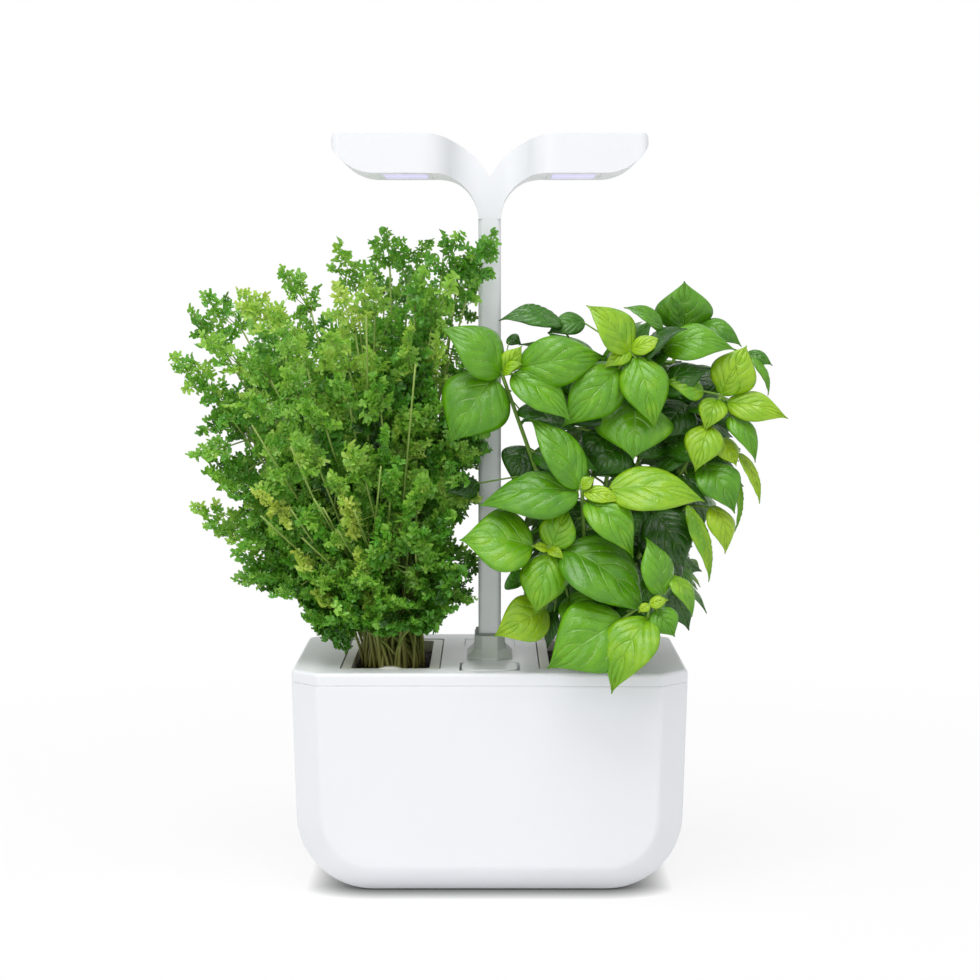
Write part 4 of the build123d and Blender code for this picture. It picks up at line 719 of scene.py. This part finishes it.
# fronts: how many shoots have their own leaves in front. For those and for the others: pairs down
# the stem, and how far below the shoot the first and each next one is, mm. turn: degrees from stem
# to stem and from pair to pair; size: of the first pair, and how much each next one adds, mm
pairLook = {"fronts": 8, "pairs": (3, 5), "first": (22, 2), "step": (14, 10), "turn": (63, 90),
            "size": (20, 9), "outward": 0.35, "sink": -0.15}
# Bush as an oval seen from the front: middle (x, z) and half axes, mm; depth: from and to, y, of
# the leaves in front, in the shade, and at the back; size: mm
innerLook = {"middle": (72, 232), "half": (54, 80), "front": (-46, 4), "back": (4, 62),
             "backShare": 0.85, "size": (28, 44)}


def fillLeaves():
    # Opposite pairs down every stem, each pair a quarter turn on from the last and longer;
    # where front leaves stand, they start lower and turn to the back, as the solids do
    look, rows = pairLook, []
    for index, (shoot, foot) in enumerate(zip(basilShoots, basilFeet)):
        front = index < look["fronts"]
        pairs, first, step = (look[key][0 if front else 1] for key in ("pairs", "first", "step"))
        lean = unit(shoot - foot - np.array([0, 0, basilLook["rise"]]))
        outward = unit(shoot * level - basilPot)
        for pair in range(pairs):
            root = shoot - lean * (first + step * pair)
            for hand in (0, 180):
                a = math.radians(index * look["turn"][0] + pair * look["turn"][1] + hand) \
                    + random.uniform(-0.1, 0.1)
                sideways = abs(math.sin(a)) * 0.6 if front else math.sin(a)
                ray = unit(np.array([math.cos(a), sideways, look["sink"]]) + outward * look["outward"])
                size = (look["size"][0] + look["size"][1] * pair) * random.uniform(0.95, 1.08)
                # Pairs on the stems with front leaves stand behind those and get dark tones: painted
                # shade. Each lower pair is a little darker
                tone = random.uniform(0.10, 0.35) if front else random.uniform(0.35, 0.8) - 0.05 * pair
                rows.append((*(root + ray * 2), *(root + ray * size), size * random.uniform(0.58, 0.68),
                             random.uniform(-12, 12), tone))
    # Leaves inside the bush and over its back, which close the view through it; those in front are in the
    # shade and get darker tones, painted shade
    look = innerLook
    for k in range(basilLook["inner"]):
        a, r = random.uniform(0, 6.28), random.uniform(0.1, 1) ** 0.5
        y = random.uniform(*look["front" if k % 2 else "back"])
        shaded = y < look["front"][1]
        r *= 1 if shaded else look["backShare"]
        root = np.array([look["middle"][0] + look["half"][0] * r * math.cos(a), y,
                         look["middle"][1] + look["half"][1] * r * math.sin(a)])
        depth = random.uniform(-0.5, 0.1) if shaded else random.uniform(-0.1, 0.5)
        ray = unit(np.array([math.cos(a), depth, 0.7 * math.sin(a) - 0.3]))
        size = random.uniform(*look["size"])
        rows.append((*root, *(root + ray * size), size * 0.62, random.uniform(-20, 20),
                     random.uniform(0.05, 0.42) if shaded else random.uniform(0.3, 0.7)))
    rows = np.array(rows)
    keep = (rows[:, 3] < 166) & (rows[:, 3] > 15) & (rows[:, 5] > 132) & (rows[:, 4] < 89)
    # The bush draws in towards the pot and keeps below its top leaves
    keep &= ((rows[:, 3] < 128) | (rows[:, 5] > 222)) & (rows[:, 5] < 322)
    return rows[keep]


def makeBasil():
    leaves = np.concatenate([basilLeaves, fillLeaves()])
    base, tip, (breadth, roll, tone) = leaves[:, :3], leaves[:, 3:6], leaves[:, 6:].T
    front = np.arange(len(leaves)) < len(basilLeaves)
    # Way each blade faces: front leaves the eye, those behind up and out, those inside between
    facing = unit((base + tip) / 2 * level - basilPot) * 0.5 + np.array([0, 0, 0.9])
    facing[front] = (0, -0.85, 0.55)
    facing[~front & (base[:, 1] < innerLook["front"][1])] = (0, -0.7, 0.7)
    pieces = []
    for name, part, grid in (("basilLeavesFront", front, basilLook["frontGrid"]),
                             ("basilLeavesBack", ~front, basilLook["backGrid"])):
        points = makeBlades(base[part], tip[part], breadth[part] * basilLook["fuller"],
                            np.radians(roll[part]), facing[part], grid, basilLook)
        shells, quads, slots = makeShells(points, basilLook["thickness"])
        growth = growthOf(np.linspace(0, 1, grid[0])[:, None], np.linspace(-1, 1, grid[1]),
                          tone[part][:, None, None, None] * np.ones((1, 2, 1, 1)))
        pieces.append(makeMesh(name, shells * mm, quads, "pod_right",
                               [basilUpper, basilUnder], ["basil"], slots, growth))
    # Stems from the soil to the shoots, and a stalk from the nearest shoot to each blade
    stems = bowedPaths(basilFeet, basilShoots, np.full(len(basilFeet), basilLook["rise"]), 18)
    nearest = np.linalg.norm(stems.reshape(1, -1, 3) - base[:, None], axis=-1).argmin(1)
    joint = stems.reshape(-1, 3)[nearest]
    stalks = bowedPaths(joint, base + unit(tip - base) * 1.5, np.full(len(base), 1.5), 6)
    stalkRadii = basilLook["stalk"] / 2 * np.clip(breadth / 24, 0.45, 1)[:, None]
    pieces.append(makeStems("basilStems", "pod_right", basilStem, "basil", (
        (stems, np.linspace(basilLook["stem"] / 2, 1.1, 18), 8, (0, 1)),
        (stalks, stalkRadii, 6, (0.5, 1)))))
    return pieces


basilPieces = makeBasil()


# Parsley
print("stage: parsley")

# Where each frond of the front and the edges has its middle (mm), and its tone from 0, dark, to 1,
# yellow. The two near 0 are painted shade in a hollow of the bush
parsleyFronds = np.array([
    (-58, -14, 364, 0.40), (-46, -10, 357, 0.40), (-78, -20, 350, 0.45), (-26, -36, 359, 0.30),
    (-6, -38, 359, 0.30), (-18, -34, 348, 0.32), (-106, -16, 339, 0.42), (-128, -12, 330, 0.72),
    (-113, -26, 320, 0.66), (-65, -34, 335, 0.70), (-78, -40, 326, 0.75), (-42, -36, 338, 0.36),
    (-31, -37, 330, 0.50), (-150, -4, 327, 0.35), (-162, -2, 316, 0.30), (-171, -8, 294, 0.52),
    (-149, -14, 304, 0.50), (-154, -10, 280, 0.40), (-147, -8, 263, 0.30), (-131, -26, 299, 0.46),
    (-106, -42, 306, 0.50), (-82, -52, 305, 0.68), (-48, -42, 307, 0.72), (-36, -32, 297, 0.70),
    (-63, -46, 295, 0.62), (-107, -50, 285, 0.50), (-120, -38, 270, 0.46), (-94, -60, 270, 0.52),
    (-99, -60, 249, 0.56), (-65, -44, 266, 0.02), (-58, -60, 254, 0.36), (-72, -64, 244, 0.62),
    (-46, -35, 258, 0.52), (-33, -28, 241, 0.50), (-153, -12, 239, 0.34), (-143, -26, 227, 0.56),
    (-156, -16, 210, 0.56), (-146, -22, 200, 0.46), (-119, -48, 219, 0.96), (-77, -66, 217, 0.88),
    (-82, -60, 231, 0.60), (-55, -62, 231, 0.42), (-41, -64, 227, 0.50), (-129, -26, 183, 0.34),
    (-131, -22, 171, 0.30), (-111, -34, 174, 0.30), (-58, -64, 201, 0.46), (-42, -66, 202, 0.46),
    (-28, -56, 207, 0.30), (-26, -56, 180, 0.30), (-92, -54, 177, 0.42), (-68, -66, 178, 0.46),
    (-78, -62, 163, 0.42), (-51, -64, 166, 0.44), (-31, -54, 161, 0.32), (-95, -46, 157, 0.34),
    (-82, -54, 155, 0.34), (-41, -54, 157, 0.26), (-60, -59, 162, 0.40), (-110, -40, 196, 0.40),
    (-48, -28, 276, 0.05), (-80, -58, 284, 0.44), (-88, -58, 200, 0.36), (-62, -64, 281, 0.52)], float)

# Lengths in mm. Behind the table's sprigs stand more of them: drawn in towards crown (x), depth
# from and to (y), lower by lower. Inside are darker ones, their tone shade being painted shade: core is
# the middle and half axes of their ring (x, y), and height where they reach to. low and high are the
# corners of the room they have
parsleyLook = {"leaf": 31.0, "stem": 1.9, "twig": 0.7, "ruffle": 0.27, "curl": 0.25, "reach": 0.42,
               "rise": 18.0, "crown": -76.0, "drawn": 0.8, "depth": (4, 64), "lower": 0.9,
               "inside": 22, "core": ((-76, 44), (-14, 26)), "height": (160, 310), "shade": 0.2,
               "low": (-188, -83, soilTop + 1), "high": (14, 91, 375), "feet": (19, 37),
               # Lowest leaflets: x and z along the edge under the bush, which is open over the stems
               "edge": ((-190, 172), (-137, 168), (-110, 163), (-98, 144), (-80, 132), (-78, 145),
                        (-32, 145), (-11, 162), (14, 170))}

# Ends of the pale stems that show between the fronds (mm)
paleStems = np.array([
    (-92, -76, 217), (-110, -74, 216), (-97, -76, 222), (-127, -70, 212), (-110, -74, 251),
    (-75, -78, 216), (-68, -74, 323), (-41, -72, 296), (-84, -78, 205), (-60, -76, 240),
    (-104, -72, 200), (-132, -66, 262)], float)

# One leaflet, from its left edge round to its right: three round lobes and the notches between
# them, as shares of its size
fanReach = np.array([0.50, 0.86, 0.82, 0.44, 0.98, 0.98, 0.44, 0.82, 0.86, 0.50])
fanRows = np.array([0.14, 1.0])  # from near its stalk to its rim

# The three levels of a leaf, wings, winglets and leaflets, as branch takes them
parsleySteps = (
    ((0.52, 0, 0.52), (0.06, 66, 0.50), (0.06, -66, 0.50), (0.34, 48, 0.44), (0.34, -48, 0.44)),
    ((0.56, 0, 0.46), (0.12, 62, 0.42), (0.12, -62, 0.42), (0.38, 50, 0.42), (0.38, -50, 0.42)),
    ((0.44, 0, 0.56), (0.14, 66, 0.48), (0.14, -66, 0.48)))


def turned(direction, normal, angle):
    # direction turned about normal by angle, with both square to each other
    c, s = np.cos(angle)[..., None], np.sin(angle)[..., None]
    return direction * c + np.cross(normal, direction) * s


def branch(origin, direction, normal, size, steps, jitter):
    # Children of each leaf: steps are (share of size along, turn in degrees, size share)
    children = []
    for along, turn, share in steps:
        start = origin + direction * (size * along)[:, None]
        angle = np.radians(turn + random.normal(0, jitter, len(size)))
        way = turned(direction, normal, angle)
        tilt = random.normal(0, 0.36, (len(size), 3))
        face = unit(normal + tilt - way * ((normal + tilt) * way).sum(-1, keepdims=True))
        children.append((start, way, face, size * share * random.uniform(0.85, 1.15, len(size))))
    return tuple(np.concatenate(part) for part in zip(*children))


def makeFans(origin, direction, normal, size, look):
    # theta runs over the leaflet, rho from its stalk (0) to its rim (1): radius = size rho
    # reach(theta). The rim curls: lobe up, notch down, by ruffle, on a slow wave over theta.
    theta = np.radians(np.linspace(-105, 105, len(fanReach)))[None, :, None]
    rho = fanRows[None, None, :]
    wide = size[:, None, None]
    reach = wide * rho * fanReach[None, :, None]
    phase = random.uniform(0, 6.28, (len(size), 1, 1))
    tooth = (fanReach * 4 - 3)[None, :, None]
    lift = wide * rho ** 2 * (look["ruffle"] * (0.8 * tooth + np.cos(1.6 * theta + phase))
                              + look["curl"] * random.normal(0, 1, (len(size), 1, 1)))
    across = np.cross(normal, direction)
    forward = reach * np.cos(theta) + 0.10 * wide * rho
    return origin[:, None, None] + direction[:, None, None] * forward[..., None] \
        + across[:, None, None] * (reach * np.sin(theta))[..., None] \
        + normal[:, None, None] * lift[..., None]


def growParsley():
    look = parsleyLook
    # Behind: every third one again, drawn in towards the crown and spread over the back by the
    # golden ratio, first as the solids have them and then half a step on; inside: sprigs with a dark tone,
    # painted shade
    behind = []
    near, far = look["depth"]
    for first, shift in ((0, 0.0), (1, 0.5)):
        again = parsleyFronds[first::3] * np.array([1, 0, 1, 0.8])
        again[:, 0] = look["crown"] + (again[:, 0] - look["crown"]) * look["drawn"]
        again[:, 1] = near + (far - near) * ((np.arange(len(again)) * 0.618 + shift) % 1)
        again[:, 2] = soilTop + (again[:, 2] - soilTop) * look["lower"]
        behind.append(again)
    turn = random.uniform(0, 6.28, look["inside"])
    (middleX, halfX), (middleY, halfY) = look["core"]
    inside = np.stack([middleX + halfX * np.cos(turn), middleY + halfY * np.sin(turn),
                       random.uniform(*look["height"], look["inside"]),
                       np.full(look["inside"], look["shade"])], -1)
    fronds = np.concatenate([parsleyFronds, *behind, inside])
    n = len(fronds)
    feet = footRing(n, parsleyPot, look["feet"], 0)
    size = look["leaf"] * random.uniform(0.9, 1.12, n)
    tips = fronds[:, :3] - unit(fronds[:, :3] - feet) * (size * look["reach"])[:, None]
    stems = bowedPaths(feet, tips, np.full(n, look["rise"]), 16)
    outward = unit((fronds[:, :3] - parsleyPot) * level)
    heading = unit(unit(stems[:, -1] - stems[:, -3]) + outward * 0.45)
    face = unit(outward * 0.45 + np.array([0, -0.45, 0.85]) + random.normal(0, 0.12, (n, 3)))
    face = unit(face - heading * (face * heading).sum(-1, keepdims=True))
    # Along each stem: the end leaf, and two pairs of side leaves lower down on their own stalks
    leaves, stalks = [(stems[:, -1], heading, face, size, fronds[:, 3])], []
    for at, share in ((13, 0.85), (11, 0.8)):
        for hand in (-1, 1):
            way = turned(heading, face, np.radians(hand * random.uniform(50, 85, n)))
            foot = stems[:, at]
            end = foot + way * (size * random.uniform(0.30, 0.6, n))[:, None]
            stalks.append(bowedPaths(foot, end, np.full(n, 1.5), 5))
            way = unit(way + random.normal(0, 0.12, way.shape))
            normal = unit(face + outward * 0.3 + random.normal(0, 0.2, way.shape))
            normal = unit(normal - way * (normal * way).sum(-1, keepdims=True))
            leaves.append((end, way, normal, size * share * random.uniform(0.8, 1.1, n),
                           fronds[:, 3] * random.uniform(0.75, 1.05, n)))
    origin, way, normal, size, tone = (np.concatenate(part) for part in zip(*leaves))
    wings, winglets, fans = parsleySteps
    wings = branch(origin, way, normal, size, wings, 9)
    winglets = branch(*wings, winglets, 14)
    fans = branch(*winglets, fans, 16)
    twigs = np.stack([np.tile(origin, (5, 1)), wings[0] + wings[1] * (wings[3] * 0.6)[:, None]], 1)
    blades = makeFans(*fans, look)
    mottled = random.normal(0, 0.09, len(winglets[3]))
    tone = np.tile(tone, len(fans[3]) // len(tone)) + np.tile(mottled, 3)
    return stems, np.concatenate(stalks), twigs, blades, np.clip(tone, 0, 1)


parsleyBlade = leafMaterial("parsleyBlade", {
    "tones": ((0.0, "#22580F"), (0.3, "#62B030"), (0.6, "#A2D850"), (1.0, "#D8E868")),
    "vein": "#8FC060", "veinShare": 0.0, "veinWidth": 0.09, "ribWidth": 0.04, "veinDepth": 0.0,
    "mottle": 22.0, "wander": 0.16, "cell": 0.8, "cellDepth": 0.12, "rough": 0.36, "gloss": 0.8,
    "glow": 0.3})
parsleyStem = stemMaterial("parsleyStem", "#B9AC62", "#A9C76A", 0.45)


def makeParsley():
    stems, stalks, twigs, blades, tone = growParsley()
    look = parsleyLook
    low, high = np.array(look["low"]), np.array(look["high"])
    middle = blades.mean((1, 2))
    edgeX, edgeZ = np.array(look["edge"]).T
    keep = ((middle > low + 3) & (middle < high - 3)).all(-1)
    keep &= middle[:, 2] > np.interp(middle[:, 0], edgeX, edgeZ)
    twigs = twigs[(twigs[..., 2] > np.interp(twigs[..., 0], edgeX, edgeZ) + 4).all(1)]
    stalks = stalks[(stalks[..., 2] > np.interp(stalks[..., 0], edgeX, edgeZ) + 2).all(1)]
    blades, tone, middle = np.clip(blades[keep], low, high), tone[keep], middle[keep]
    rows, columns = blades.shape[1:3]
    order = np.argsort(middle[:, 1])
    pieces = []
    names = ("parsleyLeavesFront", "parsleyLeavesNear", "parsleyLeavesMiddle", "parsleyLeavesFar",
             "parsleyLeavesBack")
    for name, part in zip(names, np.array_split(order, len(names))):
        growth = growthOf(fanRows, np.linspace(-1, 1, rows)[:, None], tone[part][:, None, None])
        pieces.append(makeMesh(name, blades[part].reshape(-1, 3) * mm,
                               gridQuads(len(part), rows, columns)[:, ::-1], "pod_left",
                               [parsleyBlade], ["parsley"], None, growth))
    bareFeet = footRing(len(paleStems), parsleyPot - (4, 0, 0), (16, 24), 40)
    rise = np.full(len(paleStems), look["rise"])
    bare = bowedPaths(bareFeet, paleStems, rise, stems.shape[1])
    stems = np.concatenate([stems, bare])
    twigs = twigs[((twigs > low) & (twigs < high)).all((1, 2))]
    pieces.append(makeStems("parsleyStems", "pod_left", parsleyStem, "parsley", (
        (stems, np.linspace(look["stem"] / 2, 0.55, stems.shape[1]), 6, (0, 1)),
        (stalks, look["twig"] / 2 * 1.3, 4, (0.7, 0.7)),
        (twigs, look["twig"] / 2 * 0.8, 3, (1, 1)))))
    return pieces


parsleyPieces = makeParsley()

# The herbs are pressed down towards the soil while their pod comes up under the lamp
# Each herb piece gets a mesh of its own
for pieces, joint, keep in ((parsleyPieces, "pod_left_lift", 0.83), (basilPieces, "pod_right_lift", 0.9)):
    for piece in pieces:
        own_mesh(piece)
